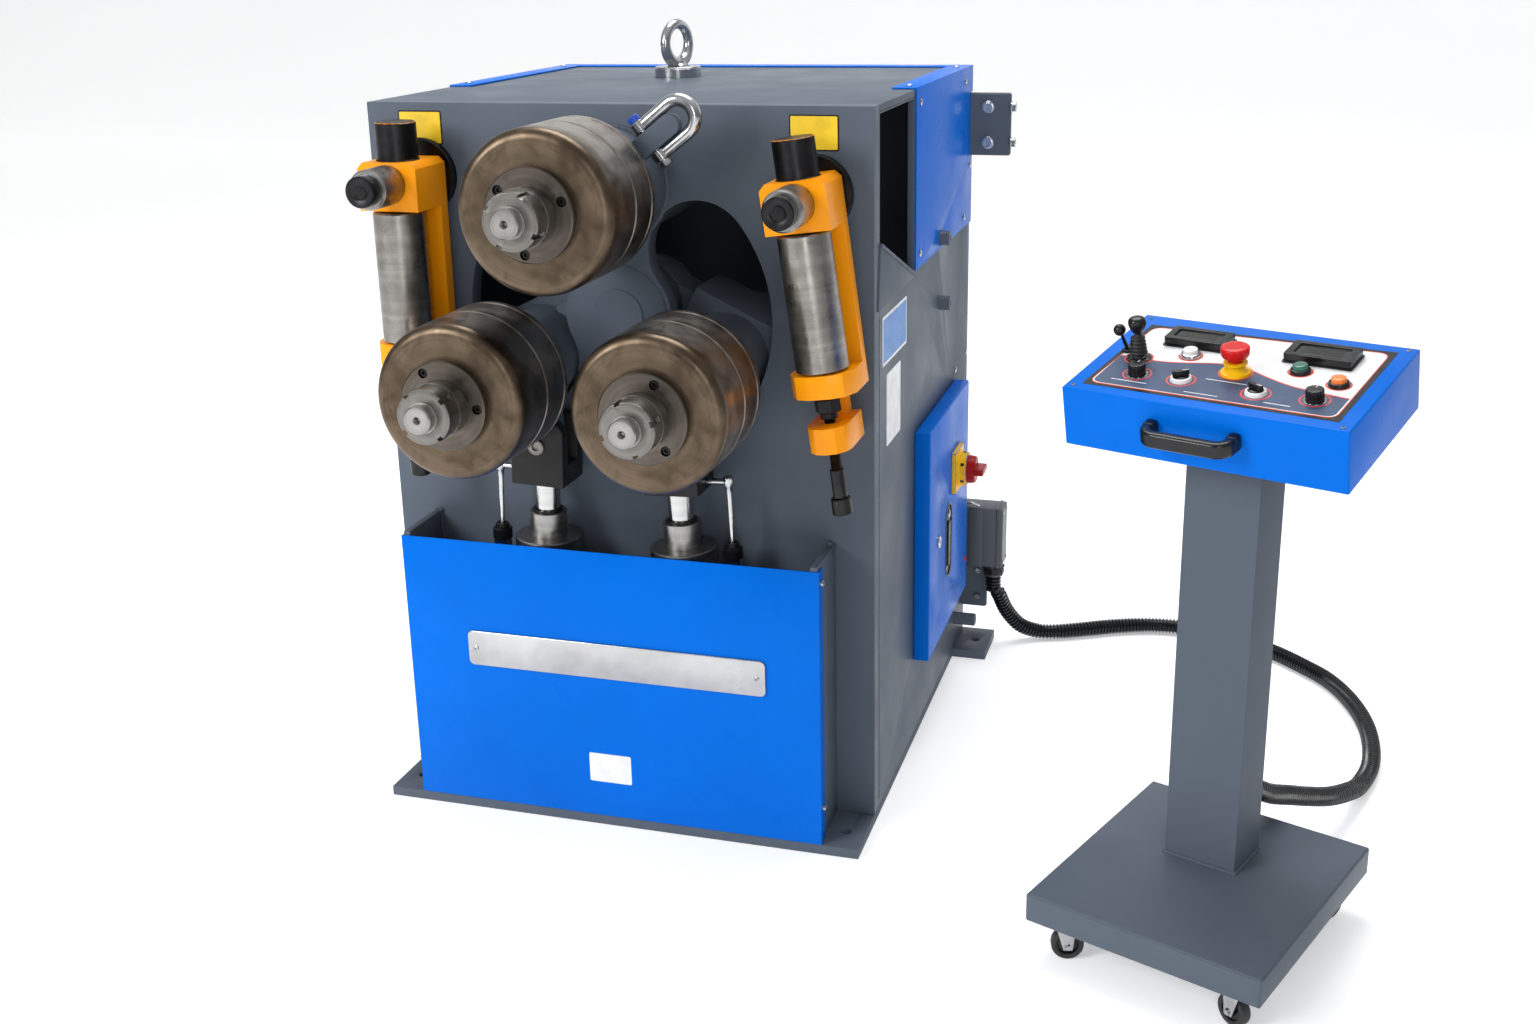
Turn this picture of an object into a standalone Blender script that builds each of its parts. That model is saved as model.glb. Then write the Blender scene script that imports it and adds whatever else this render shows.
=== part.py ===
"""Three-roll profile bending machine with its control console, as named solids in metres, +Z up.

The origin is on the floor under the middle of the base plate. +X is to the right, the front plate faces -Y.
"""
import math

import bmesh
import bpy
from mathutils import Matrix, Vector

# General clearances
SEAT = 0.0003
RUNNING = 0.0004
CUT_REACH = 0.05
SMOOTH_ANGLE = math.radians(35)

# Body of the machine
BODY_WIDTH = 0.885
BODY_DEPTH = 0.865
BODY_HEIGHT = 1.25
BASE_THICKNESS = 0.018
BASE_REACH = 0.122
FRONT_THICKNESS = 0.035
SIDE_THICKNESS = 0.012
TOP_THICKNESS = 0.012
REAR_THICKNESS = 0.005
EAR_WIDTH = 0.0715
EAR_LENGTH = 0.127
FIXING_HOLE = 0.009
FRONT_HOLE_INSET = (0.036, 0.056)
EAR_HOLE_INSET = (0.0395, 0.065)

HALF_WIDTH = BODY_WIDTH / 2
FRONT_Y = BASE_REACH - (BODY_DEPTH + BASE_REACH) / 2
BASE_FRONT = FRONT_Y - BASE_REACH
REAR_Y = FRONT_Y + BODY_DEPTH
PLATE_BACK = FRONT_Y + FRONT_THICKNESS
BODY_FLOOR = BASE_THICKNESS + SEAT

# Window in the right side
WINDOW_START = 0.040
WINDOW_END = 0.305
WINDOW_TOP = BODY_HEIGHT - 0.015
WINDOW_LOW_FRONT = BODY_HEIGHT - 0.223
WINDOW_LOW_REAR = BODY_HEIGHT - 0.323
STUD_RADIUS = 0.014
STUD_LENGTH = 0.022
STUDS = ((BODY_DEPTH - 0.332, BODY_HEIGHT - 0.295), (BODY_DEPTH - 0.320, BODY_HEIGHT - 0.423))

# Brackets at the rear right edge
BRACKET_REACH = 0.085
BRACKET_LOW = BODY_HEIGHT - 0.177
BRACKET_HIGH = BODY_HEIGHT - 0.051
BRACKET_THICKNESS = 0.014
LOW_BRACKET_REACH = 0.055
LOW_BRACKET_LOW = 0.079
LOW_BRACKET_HIGH = 0.185

# Blue rear hood
HOOD_THICKNESS = 0.003
HOOD_START = WINDOW_END + 0.004
HOOD_LOW = BODY_HEIGHT - 0.316
HOOD_FLANGE = 0.045
HOOD_CLEARANCE = 0.0015

# Front cover between its side walls
COVER_HALF_WIDTH = 0.378
COVER_TOP = 0.516
COVER_SHEET = 0.003
COVER_RETURN = 0.028
WALL_THICKNESS = 0.012
WALL_TOP = 0.523

# Rolls and their shafts
ROLL_RADIUS = 0.1262
ROLL_FRONT = 0.315
ROLL_BACK = 0.135
ROLL_FACE_RADIUS = 0.109
ROLL_SEAMS = (0.217, 0.150)
ROLL_SEAM_DEPTH = 0.0025
ROLL_SEAM_WIDTH = 0.005
SHAFT_RADIUS = 0.040
JOURNAL_RADIUS = 0.045
SHAFT_SIDES = 16
ROLL_SIDES = 24
SHAFT_NOSE_RADIUS = 0.0222
SHAFT_NOSE = 0.411
SHAFT_REAR = 0.20
COLLAR_RADIUS = 0.062
COLLAR_LENGTH = 0.008
NUT_RADIUS = 0.044
NUT_FRONT = 0.391
NUT_SLOT_WIDTH = 0.009
NUT_SLOT_LENGTH = 0.030
NUT_SLOT_DEPTH = 0.006
WASHER_RADIUS = 0.0716
WASHER_FRONT = 0.329
BOLT_CIRCLE = 0.059
BOLT_POCKET = 0.0078
BOLT_POCKET_DEPTH = 0.008
UPPER_ROLL_Z = BODY_HEIGHT - 0.131
BOLT_START = {"upper": 22, "left": -1, "right": 68}

# Swing arms and their pivot
PIVOT_Z = BODY_HEIGHT - 0.351
PIVOT_RADIUS = 0.045
PIVOT_CAP_RADIUS = 0.046
PIVOT_DISC_RADIUS = 0.087
PIVOT_DISC_HEIGHT = 0.003
SWING_RADIUS = 0.183
REST_ANGLE = -26.0
HOUSING_RADIUS = 0.080
HOUSING_FRONT = 0.125
HOUSING_REAR = 0.25
HUB_RADIUS = 0.072
HUB_START = 0.045
HUB_LENGTH = 0.074
BEAM_START = 0.065
BEAM_END = 0.195
BEAM_HALF_HEIGHT = 0.088
BEAM_REACH = 0.29
MOTOR_RADIUS = 0.065
MOTOR_LENGTH = 0.14
LUG_THICKNESS = 0.035
LUG_ROOT_RADIUS = 0.060
LUG_TIP_RADIUS = 0.030

# Kidney openings in the front plate
KIDNEY_CLEARANCE = 0.0075
KIDNEY_END_ANGLE = 37.0
BOSS_RADIUS = 0.095

# Lug with its shackle beside the boss
SHACKLE_LUG_ANGLE = 38.0
SHACKLE_LUG_END = 0.195
SHACKLE_LUG_WIDTH = 0.034
SHACKLE_LUG_THICKNESS = 0.020
SHACKLE_LUG_Y = 0.095
SHACKLE_PIN_RADIAL = 0.135
SHACKLE_PIN_RADIUS = 0.007
SHACKLE_LEG_OFFSET = 0.0275
SHACKLE_WIRE = 0.0095
SHACKLE_LEG_LENGTH = 0.060

# Cylinders
CLEVIS_PIN = (0.118, BODY_HEIGHT - 0.560)
FOOT_PIN = (0.140, 0.090)
CYLINDER_Y = 0.060
BARREL_RADIUS = 0.0575
BARREL_BORE = 0.045
BARREL_SIDES = 18
BARREL_LOW = 0.054
BARREL_TOP = 0.430
GLAND_RADIUS = 0.032
GLAND_TOP = 0.475
ROD_RADIUS = 0.021
ROD_LOW = 0.085
PISTON_THICKNESS = 0.025
CLEVIS_WIDTH = 0.095
CLEVIS_DEPTH = 0.085
CLEVIS_BELOW = 0.070
CLEVIS_ABOVE = 0.045
CLEVIS_CORNER = 0.024
CLEVIS_SLOT_FLOOR = 0.034
CLEVIS_PIN_RADIUS = 0.012
PIN_HEAD_RADIUS = 0.0145
PIN_HEAD_HEIGHT = 0.004
EYE_RADIUS = 0.034
EYE_WIDTH = 0.038
EYE_PLAY = 0.0105
EYE_SIDES = 12
FOOT_PIN_RADIUS = 0.012
FOOT_CHEEK = 0.014
FOOT_GAP = 0.003
HUB_GAP = 0.003
FOOT_HALF_WIDTH = 0.036

# Position sensors beside the cylinders
SENSOR_OFFSET = 0.088
SENSOR_RADIUS = 0.0155
SENSOR_CAP_RADIUS = 0.0170
SENSOR_BORE = 0.0065
SENSOR_LOW = 0.060
SENSOR_CAP_LOW = 0.412
SENSOR_TOP = 0.440
SENSOR_ROD_RADIUS = 0.0042
SENSOR_JOINT_RADIUS = 0.0085
SENSOR_JOINT_BELOW = 0.066
SENSOR_ROD_LENGTH = 0.330
SENSOR_CLAMPS = (0.15, 0.35)

# Lateral guides
GUIDE_X = BODY_WIDTH / 2 - 0.0965
GUIDE_Z = {"left": BODY_HEIGHT - 0.122, "right": BODY_HEIGHT - 0.1375}
GUIDE_TILT = {"left": 0.0, "right": -7.5}
POST_RADIUS = 0.024
POST_DISC_RADIUS = 0.064
POST_DISC_FRONT = 0.012
SLEEVE_RADIUS = 0.033
SLEEVE_FRONT = 0.186
POST_CAP_RADIUS = 0.0255
POST_CAP_FRONT = 0.212
BLOCK_HALF_WIDTH = 0.053
BLOCK_LOW = -0.044
BLOCK_HIGH = 0.036
BLOCK_FRONT = 0.122
BLOCK_BACK = 0.020
BACK_PLATE_THICKNESS = 0.024
LUG_LOW = -0.305
LUG_HIGH = -0.268
LUG_FRONT = ROLL_BACK - 0.002
GUIDE_ROLLER_RADIUS = 0.0425
GUIDE_ROLLER_SIDES = 20
GUIDE_ROLLER_Y = 0.092
GUIDE_ROLLER_LOW = -0.2655
GUIDE_ROLLER_HIGH = -0.0465
AXLE_RADIUS = 0.014
AXLE_HEAD_RADIUS = 0.033
AXLE_HEAD_TOP = 0.098
AXLE_NUT_RADIUS = 0.021
AXLE_NUT_LOW = -0.345
SCREW_RADIUS = 0.009
SCREW_LOW = -0.478
SCREW_HEAD_RADIUS = 0.0165
SCREW_HEAD_LENGTH = 0.028
NUT_BLOCK_LOW = -0.394
NUT_BLOCK_HIGH = -0.352
NUT_BLOCK_HALF_WIDTH = 0.034

# Cabinet door, its tub and the main switch
DOOR_START = BODY_DEPTH - 0.545
DOOR_END = BODY_DEPTH - 0.145
DOOR_LOW = 0.175
DOOR_HIGH = 0.63
DOOR_DEPTH = 0.030
DOOR_SHEET = 0.004
TUB_MARGIN = 0.030
TUB_DEPTH = 0.14
SWITCH_Y = BODY_DEPTH - 0.290
SWITCH_Z = 0.485
SWITCH_BASE = 0.085
SWITCH_BASE_DEPTH = 0.026
SWITCH_COLLAR_RADIUS = 0.034
SWITCH_KNOB_RADIUS = 0.028
SWITCH_KNOB_DEPTH = 0.034
SWITCH_GRIP = 0.014
SPINDLE_RADIUS = 0.0055
SPINDLE_LENGTH = 0.055
HANDLE_SLOT = (BODY_DEPTH - 0.382, BODY_DEPTH - 0.325, 0.28, 0.43)

# Supply connector at the rear right edge
CONNECTOR_WIDTH = 0.094
CONNECTOR_START = BODY_DEPTH - 0.065
CONNECTOR_END = BODY_DEPTH - 0.003
CONNECTOR_LOW = 0.190
CONNECTOR_HIGH = 0.325
CONNECTOR_GLAND_LENGTH = 0.026

# Lifting eye on the top
EYE_PLACE = (-0.085, 0.570)
EYE_COLLAR_RADIUS = 0.045
EYE_COLLAR_HEIGHT = 0.018
EYE_FOOT_RADIUS = 0.024
EYE_RING_RADIUS = 0.037
EYE_RING_WIRE = 0.010
EYE_TURN = 73

# Hydraulic unit inside
TANK_WIDTH = 0.42
TANK_DEPTH = 0.22
TANK_HEIGHT = 0.26
PUMP_RADIUS = 0.075
PUMP_LENGTH = 0.24

# Console
CONSOLE_PLACE = (1.0063, -0.1985)
CONSOLE_TURN = -21.4
STAND_WIDTH = 0.371
STAND_DEPTH = 0.436
STAND_TOP = 0.1143
STAND_SKIRT = 0.0472
STAND_SHEET = 0.006
COLUMN_WIDTH = 0.1145
COLUMN_DEPTH = 0.0946
COLUMN_WALL = 0.004
COLUMN_OFFSET = (-0.012, 0.064)
BOX_WIDTH = 0.419
BOX_DEPTH = 0.278
BOX_THICKNESS = 0.093
BOX_WALL = 0.003
BOX_OFFSET = (-0.011, 0.046)
BOX_TOP_Z = 0.901
BOX_TILT = 11.8
CABLE_HOLE = 0.030
CASTER_INSET = 0.035
WHEEL_RADIUS = 0.025
WHEEL_WIDTH = 0.018
WHEEL_TRAIL = 0.018
WHEEL_BORE = 0.0045
FORK_SHEET = 0.003
FORK_PLATE_RADIUS = 0.019
CASTER_TURNS = (35, 160, 250, 300)
GRIP_HALF_WIDTH = 0.061
GRIP_PLACE = (-0.0075, -0.040)
GRIP_REACH = 0.036
GRIP_RADIUS = 0.0095
GRIP_CORNER = 0.020

# Controls on the panel: places across and up the panel from its middle
DISPLAYS = {"left": (-0.087, 0.062, 0.092, 0.044), "right": (0.098, 0.064, 0.096, 0.050)}
DISPLAY_HEIGHT = 0.014
BUTTONS = {"white_button": (-0.080, 0.015), "green_button": (0.0846, 0.014),
           "orange_button": (0.1476, -0.009)}
BUTTON_RADIUS = 0.0125
BUTTON_HEIGHT = 0.009
BUTTON_TRAVEL = 0.004
STOP_PLACE = (0.003, -0.018)
STOP_CAP_RADIUS = 0.0205
STOP_COLLAR_RADIUS = 0.0185
STOP_COLLAR_HEIGHT = 0.0195
STOP_NECK_RADIUS = 0.010
STOP_CAP_LOW = 0.026
STOP_CAP_TOP = 0.044
KNOBS = {"left_knob": (-0.126, -0.066), "right_knob": (0.135, -0.064)}
KNOB_RADIUS = 0.0125
KNOB_HEIGHT = 0.018
SELECTORS = {"left_selector": (-0.059, -0.064), "right_selector": (0.0547, -0.071)}
SELECTOR_RADIUS = 0.0135
SELECTOR_TURN = {"left_selector": 35, "right_selector": -20}
JOYSTICK_PLACE = (-0.148, -0.015)
JOYSTICK_BALL_HEIGHT = 0.054
JOYSTICK_BALL = 0.0135
JOYSTICK_BASE_RADIUS = 0.0165
JOYSTICK_BOOT_LOW = 0.0085
LEVER_PLACE = (-0.174, 0.004)
LEVER_BALL_HEIGHT = 0.044
LEVER_BALL = 0.009
LEVER_LEAN = 22
LEVER_COLLAR_RADIUS = 0.0095

STEM_RADIUS = 0.005
STEM_LENGTH = 0.016
STEM_SIDES = 6
TILT_HOLE = 0.0068
TILT_COLLAR_HEIGHT = 0.004

# Ribbed conduit from the connector to the console's column, as points on the floor plan and heights
CONDUIT_RADIUS = 0.0168
CONDUIT_RIB_STEP = 0.0024
CONDUIT_BORE = 0.0120
CONDUIT_RIBS = 64
CONDUIT_BORE_POINTS = 30
CONDUIT_LEAD = 0.030
COLUMN_GLAND_HEIGHT = 0.185
COLUMN_GLAND_OFFSET = 0.020
COLUMN_GLAND_LENGTH = 0.022
COLUMN_GLAND_RADIUS = 0.021
CONDUIT_ROUTE = (
    (0.526, 0.461, 0.120),
    (0.543, 0.472, 0.077),
    (0.571, 0.487, 0.039),
    (0.608, 0.505, 0.0205),
    (0.655, 0.520, 0.0178),
    (0.710, 0.546, 0.0178),
    (0.770, 0.577, 0.0178),
    (0.838, 0.602, 0.0178),
    (0.906, 0.609, 0.0178),
    (0.976, 0.597, 0.0178),
    (1.044, 0.564, 0.0178),
    (1.111, 0.520, 0.0178),
    (1.172, 0.461, 0.0178),
    (1.224, 0.397, 0.0178),
    (1.262, 0.312, 0.0178),
    (1.285, 0.220, 0.0178),
    (1.293, 0.127, 0.0178),
    (1.287, 0.032, 0.0178),
    (1.264, -0.055, 0.022),
    (1.238, -0.130, 0.045),
    (1.205, -0.200, 0.070),
    (1.168, -0.262, 0.098),
    (1.136, -0.316, 0.125),
    (1.106, -0.366, 0.150),
)


# Collections, materials and modelling helpers
def clear_scene():
    for obj in list(bpy.data.objects):
        bpy.data.objects.remove(obj, do_unlink=True)


def new_collection(name):
    collection = bpy.data.collections.new(name)
    bpy.context.scene.collection.children.link(collection)
    return collection


def make_material(name, color, roughness, metallic=0.0):
    material = bpy.data.materials.new(name)
    material.use_nodes = True
    shader = material.node_tree.nodes["Principled BSDF"]
    shader.inputs["Base Color"].default_value = (*color, 1.0)
    shader.inputs["Roughness"].default_value = roughness
    shader.inputs["Metallic"].default_value = metallic
    material.diffuse_color = (*color, 1.0)
    return material


def new_object(name, mesh):
    obj = bpy.data.objects.new(name, mesh)
    CUTTERS.objects.link(obj)
    obj.hide_render = True
    obj.display_type = "WIRE"
    return obj


def from_bmesh(name, shape):
    mesh = bpy.data.meshes.new(name)
    shape.to_mesh(mesh)
    shape.free()
    return new_object(name, mesh)


def box(name, low, high):
    """A box between two opposite corners."""
    shape = bmesh.new()
    bmesh.ops.create_cube(shape, size=1.0)
    low = Vector(low)
    high = Vector(high)
    bmesh.ops.scale(shape, vec=high - low, verts=shape.verts)
    bmesh.ops.translate(shape, vec=(low + high) / 2, verts=shape.verts)
    return from_bmesh(name, shape)


def cylinder(name, start, end, radius, sides=24, end_radius=None, spin=0.0):
    """A round bar, or a cone, from start to end, with its facets spun about its axis."""
    start = Vector(start)
    end = Vector(end)
    along = end - start
    shape = bmesh.new()
    bmesh.ops.create_cone(shape, cap_ends=True, segments=sides, radius1=radius,
                          radius2=radius if end_radius is None else end_radius, depth=along.length)
    turn = along.to_track_quat("Z", "Y").to_matrix().to_4x4() @ Matrix.Rotation(spin, 4, "Z")
    bmesh.ops.transform(shape, matrix=Matrix.Translation((start + end) / 2) @ turn, verts=shape.verts)
    obj = from_bmesh(name, shape)
    smooth(obj)
    return obj


def clear_radius(radius, sides):
    """The corner radius of a faceted hole whose flats lie at this radius."""
    return radius / math.cos(math.pi / sides)


def hole(name, start, end, radius, sides=16):
    """A cutter for a round hole, whose flats face the corners of a bar with as many sides."""
    return cylinder(name, start, end, clear_radius(radius, sides), sides, spin=math.pi / sides)


def ball(name, centre, radius, sides=16):
    shape = bmesh.new()
    bmesh.ops.create_uvsphere(shape, u_segments=sides, v_segments=sides // 2, radius=radius)
    bmesh.ops.translate(shape, vec=centre, verts=shape.verts)
    obj = from_bmesh(name, shape)
    obj.data.shade_smooth()
    return obj


def smooth(obj):
    obj.data.shade_smooth()
    obj.data.set_sharp_from_angle(angle=SMOOTH_ANGLE)


def turned(name, profile, origin, axis, sides=24):
    """A turned shape about an axis through origin, from (radius, height) pairs that run down the outer side.

    A profile that ends where it starts makes a ring.
    """
    mesh = bpy.data.meshes.new(name)
    ring = profile[0] == profile[-1]
    points = [(radius, 0.0, height) for radius, height in (profile[:-1] if ring else profile)]
    edges = [(i, i + 1) for i in range(len(points) - 1)]
    if ring:
        edges.append((len(points) - 1, 0))
    mesh.from_pydata(points, edges, [])
    obj = new_object(name, mesh)
    screw = obj.modifiers.new("Turn", "SCREW")
    screw.steps = sides
    screw.render_steps = sides
    screw.use_merge_vertices = True
    screw.merge_threshold = 0.00002
    turn = Vector(axis).to_track_quat("Z", "Y").to_matrix().to_4x4()
    obj.matrix_basis = Matrix.Translation(Vector(origin)) @ turn
    return obj


def as_mesh(source, weld=0.00001):
    """The curve's or modified object's evaluated mesh as a plain object in the same place."""
    bpy.context.view_layer.update()
    evaluated = source.evaluated_get(bpy.context.evaluated_depsgraph_get())
    mesh = bpy.data.meshes.new_from_object(evaluated)
    shape = bmesh.new()
    shape.from_mesh(mesh)
    bmesh.ops.remove_doubles(shape, verts=shape.verts, dist=weld)
    shape.to_mesh(mesh)
    shape.free()
    obj = new_object(source.name, mesh)
    obj.matrix_basis = source.matrix_world
    bpy.data.objects.remove(source, do_unlink=True)
    return obj


PLANES = {
    "XY": Matrix.Identity(4),
    "XZ": Matrix(((1, 0, 0, 0), (0, 0, -1, 0), (0, 1, 0, 0), (0, 0, 0, 1))),
    "YZ": Matrix(((0, 0, 1, 0), (1, 0, 0, 0), (0, 1, 0, 0), (0, 0, 0, 1))),
}


def plate(name, plane, outline, low, high, holes=()):
    """A flat plate of an outline in a plane, between two heights square to it."""
    curve = bpy.data.curves.new(name, "CURVE")
    curve.dimensions = "2D"
    curve.fill_mode = "BOTH"
    curve.extrude = (high - low) / 2
    for loop in (outline, *holes):
        spline = curve.splines.new("POLY")
        spline.points.add(len(loop) - 1)
        for point, (across, up) in zip(spline.points, loop):
            point.co = (across, up, 0.0, 1.0)
        spline.use_cyclic_u = True
    obj = new_object(name, curve)
    facing = -1 if plane == "XZ" else 1
    obj.matrix_basis = PLANES[plane] @ Matrix.Translation((0, 0, facing * (low + high) / 2))
    return as_mesh(obj)


def arc(centre, radius, start, end, steps):
    """Points along an arc, with angles in degrees."""
    angles = [math.radians(start + (end - start) * i / steps) for i in range(steps + 1)]
    return [(centre[0] + radius * math.cos(a), centre[1] + radius * math.sin(a)) for a in angles]


def circle(centre, radius, sides=16):
    return arc(centre, radius, 0, 360, sides)[:-1]


def rectangle(low, high):
    return [low, (high[0], low[1]), high, (low[0], high[1])]


def rounded(low, high, radius, steps=4):
    """A rectangle with round corners."""
    corners = ((high[0] - radius, high[1] - radius, 0), (low[0] + radius, high[1] - radius, 90),
               (low[0] + radius, low[1] + radius, 180), (high[0] - radius, low[1] + radius, 270))
    points = []
    for across, up, start in corners:
        points += arc((across, up), radius, start, start + 90, steps)
    return points


def tube(name, points, radii, resolution=2):
    """A round tube through points, with one radius for each point or one for all."""
    if not isinstance(radii, (list, tuple)):
        radii = [radii] * len(points)
    curve = bpy.data.curves.new(name, "CURVE")
    curve.dimensions = "3D"
    curve.bevel_depth = max(radii)
    curve.bevel_resolution = resolution
    curve.use_fill_caps = True
    spline = curve.splines.new("POLY")
    spline.points.add(len(points) - 1)
    for point, place, radius in zip(spline.points, points, radii):
        point.co = (*place, 1.0)
        point.radius = radius / max(radii)
    obj = as_mesh(new_object(name, curve))
    smooth(obj)
    return obj


def boolean(target, operation, operands):
    for operand in operands:
        operand.parent = target
        operand.matrix_parent_inverse = target.matrix_basis.inverted()
        modifier = target.modifiers.new(operand.name, "BOOLEAN")
        modifier.operation = operation
        modifier.solver = "EXACT"
        modifier.object = operand
    return target


def join(target, *operands):
    return boolean(target, "UNION", operands)


def cut(target, *operands):
    return boolean(target, "DIFFERENCE", operands)


def soften(obj, width, segments=1, angle=40):
    bevel = obj.modifiers.new("Edges", "BEVEL")
    bevel.width = width
    bevel.segments = segments
    bevel.limit_method = "ANGLE"
    bevel.angle_limit = math.radians(angle)
    return obj


def part(obj, name, material, axis_point=None, frame=None):
    """Makes an object one of the parts, with its origin on its joint's axis and its place in a frame."""
    if axis_point is not None:
        old = obj.matrix_basis.copy()
        new = old.copy()
        new.translation = Vector(axis_point)
        change = new.inverted() @ old
        obj.data.transform(change)
        for child in obj.children:
            child.matrix_parent_inverse = new.inverted() @ old @ child.matrix_parent_inverse
        obj.matrix_basis = new
    if frame is not None:
        obj.parent = frame
    obj.name = name
    obj.data.materials.clear()
    obj.data.materials.append(material)
    CUTTERS.objects.unlink(obj)
    PARTS.objects.link(obj)
    obj.hide_render = False
    obj.display_type = "TEXTURED"
    return obj


def empty(name, matrix, parent=None):
    obj = bpy.data.objects.new(name, None)
    PARTS.objects.link(obj)
    obj.parent = parent
    obj.matrix_basis = matrix
    return obj


# Fixed body of the machine
def forward(depth):
    """The Y of a place that stands this far in front of the front plate."""
    return FRONT_Y - depth


def base_plate():
    body = box("base", (-HALF_WIDTH, BASE_FRONT, 0), (HALF_WIDTH, REAR_Y, BASE_THICKNESS))
    ear = HALF_WIDTH + EAR_WIDTH
    join(body, box("ears", (-ear, REAR_Y - EAR_LENGTH, 0), (ear, REAR_Y, BASE_THICKNESS)))
    for side in (-1, 1):
        for x, y in ((HALF_WIDTH - FRONT_HOLE_INSET[0], BASE_FRONT + FRONT_HOLE_INSET[1]),
                     (HALF_WIDTH + EAR_HOLE_INSET[0], REAR_Y - EAR_HOLE_INSET[1])):
            cut(body, hole("fixing hole", (side * x, y, -CUT_REACH), (side * x, y, CUT_REACH), FIXING_HOLE,
                           10))
    middle = forward(CYLINDER_Y)
    for side in (-1, 1):
        x = side * FOOT_PIN[0]
        cheek = [(x - FOOT_HALF_WIDTH, BASE_THICKNESS / 2), (x + FOOT_HALF_WIDTH, BASE_THICKNESS / 2)]
        cheek += arc((x, FOOT_PIN[1]), FOOT_HALF_WIDTH, 0, 180, 6)
        inner = EYE_WIDTH / 2 + FOOT_GAP
        for low, high in ((-inner - FOOT_CHEEK, -inner), (inner, inner + FOOT_CHEEK)):
            join(body, plate("cheek", "XZ", cheek, middle + low, middle + high))
        join(body, cylinder("foot pin", (x, middle - inner - FOOT_CHEEK / 2, FOOT_PIN[1]),
                            (x, middle + inner + FOOT_CHEEK / 2, FOOT_PIN[1]), FOOT_PIN_RADIUS, 10))
    return part(body, "base_plate", GREY)


def polar(centre, radius, degrees):
    angle = math.radians(degrees)
    return centre[0] + radius * math.cos(angle), centre[1] + radius * math.sin(angle)


def kidney(side):
    """The opening that the lower roll's bearing housing swings in."""
    half = HOUSING_RADIUS + KIDNEY_CLEARANCE
    pivot = (0.0, PIVOT_Z)
    low_end = polar(pivot, SWING_RADIUS, REST_ANGLE)
    high_end = polar(pivot, SWING_RADIUS, KIDNEY_END_ANGLE)
    points = arc(pivot, SWING_RADIUS + half, REST_ANGLE, KIDNEY_END_ANGLE, 8)
    points += arc(high_end, half, KIDNEY_END_ANGLE, KIDNEY_END_ANGLE + 180, 8)[1:]
    points += arc(pivot, SWING_RADIUS - half, KIDNEY_END_ANGLE, REST_ANGLE, 4)[1:]
    points += arc(low_end, half, REST_ANGLE + 180, REST_ANGLE + 360, 8)[1:-1]
    return [(side * x, z) for x, z in points]


def cover_wall(side):
    inner = COVER_HALF_WIDTH - COVER_SHEET - SEAT - WALL_THICKNESS
    outer = inner + WALL_THICKNESS
    front = forward(BASE_REACH - COVER_SHEET - SEAT)
    return box("wall", (min(side * inner, side * outer), front, BODY_FLOOR),
               (max(side * inner, side * outer), FRONT_Y + FRONT_THICKNESS / 2, WALL_TOP))


def front_plate():
    outline = rectangle((-HALF_WIDTH, BODY_FLOOR), (HALF_WIDTH, BODY_HEIGHT))
    body = plate("front", "XZ", outline, FRONT_Y, PLATE_BACK, [kidney(-1), kidney(1)])
    join(body, cylinder("boss", (0, FRONT_Y + FRONT_THICKNESS / 2, UPPER_ROLL_Z),
                        (0, forward(HOUSING_FRONT), UPPER_ROLL_Z), BOSS_RADIUS, 24))
    join(body, shackle_lug())
    join(body, cylinder("pivot disc", (0, FRONT_Y + FRONT_THICKNESS / 2, PIVOT_Z),
                        (0, forward(PIVOT_DISC_HEIGHT), PIVOT_Z), PIVOT_DISC_RADIUS, 20))
    join(body, cylinder("pivot cap", (0, FRONT_Y + FRONT_THICKNESS / 2, PIVOT_Z),
                        (0, forward(2 * PIVOT_DISC_HEIGHT), PIVOT_Z), PIVOT_CAP_RADIUS, 14))
    hubs_end = FRONT_Y + HUB_START + 2 * HUB_LENGTH + 3 * HUB_GAP
    join(body, cylinder("pivot pin", (0, FRONT_Y + FRONT_THICKNESS / 2, PIVOT_Z), (0, hubs_end, PIVOT_Z),
                        PIVOT_RADIUS, 16))
    join(body, cover_wall(-1))
    join(body, cover_wall(1))
    cut(body, hole("upper bore", (0, forward(HOUSING_FRONT + CUT_REACH), UPPER_ROLL_Z),
                       (0, PLATE_BACK + CUT_REACH, UPPER_ROLL_Z), JOURNAL_RADIUS + RUNNING, SHAFT_SIDES))
    for name, side in SIDES.items():
        place = (side * GUIDE_X, GUIDE_Z[name])
        cut(body, hole("post hole", (place[0], forward(CUT_REACH), place[1]),
                           (place[0], PLATE_BACK + CUT_REACH, place[1]), POST_RADIUS + SEAT, 16))
    return part(body, "front_plate", GREY)


def shackle_lug():
    """The welded bar that stands out from the upper boss and carries the shackle."""
    centre = (0.0, UPPER_ROLL_Z)
    half = SHACKLE_LUG_WIDTH / 2
    root = (BOSS_RADIUS - 0.015, 0.0)
    tip = SHACKLE_LUG_END - half
    outline = [(root[0], -half), (tip, -half), *arc((tip, 0.0), half, -90, 90, 8)[1:-1], (tip, half),
               (root[0], half)]
    angle = math.radians(SHACKLE_LUG_ANGLE)
    turned_outline = [(centre[0] + r * math.cos(angle) - t * math.sin(angle),
                       centre[1] + r * math.sin(angle) + t * math.cos(angle)) for r, t in outline]
    middle = forward(SHACKLE_LUG_Y)
    half_depth = SHACKLE_LUG_THICKNESS / 2
    lug = plate("lug", "XZ", turned_outline, middle - half_depth, middle + half_depth)
    pin_start, pin_end = shackle_pin_ends(half + CUT_REACH / 5)
    return cut(lug, hole("lug hole", pin_start, pin_end, SHACKLE_PIN_RADIUS + RUNNING, 16))


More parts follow.
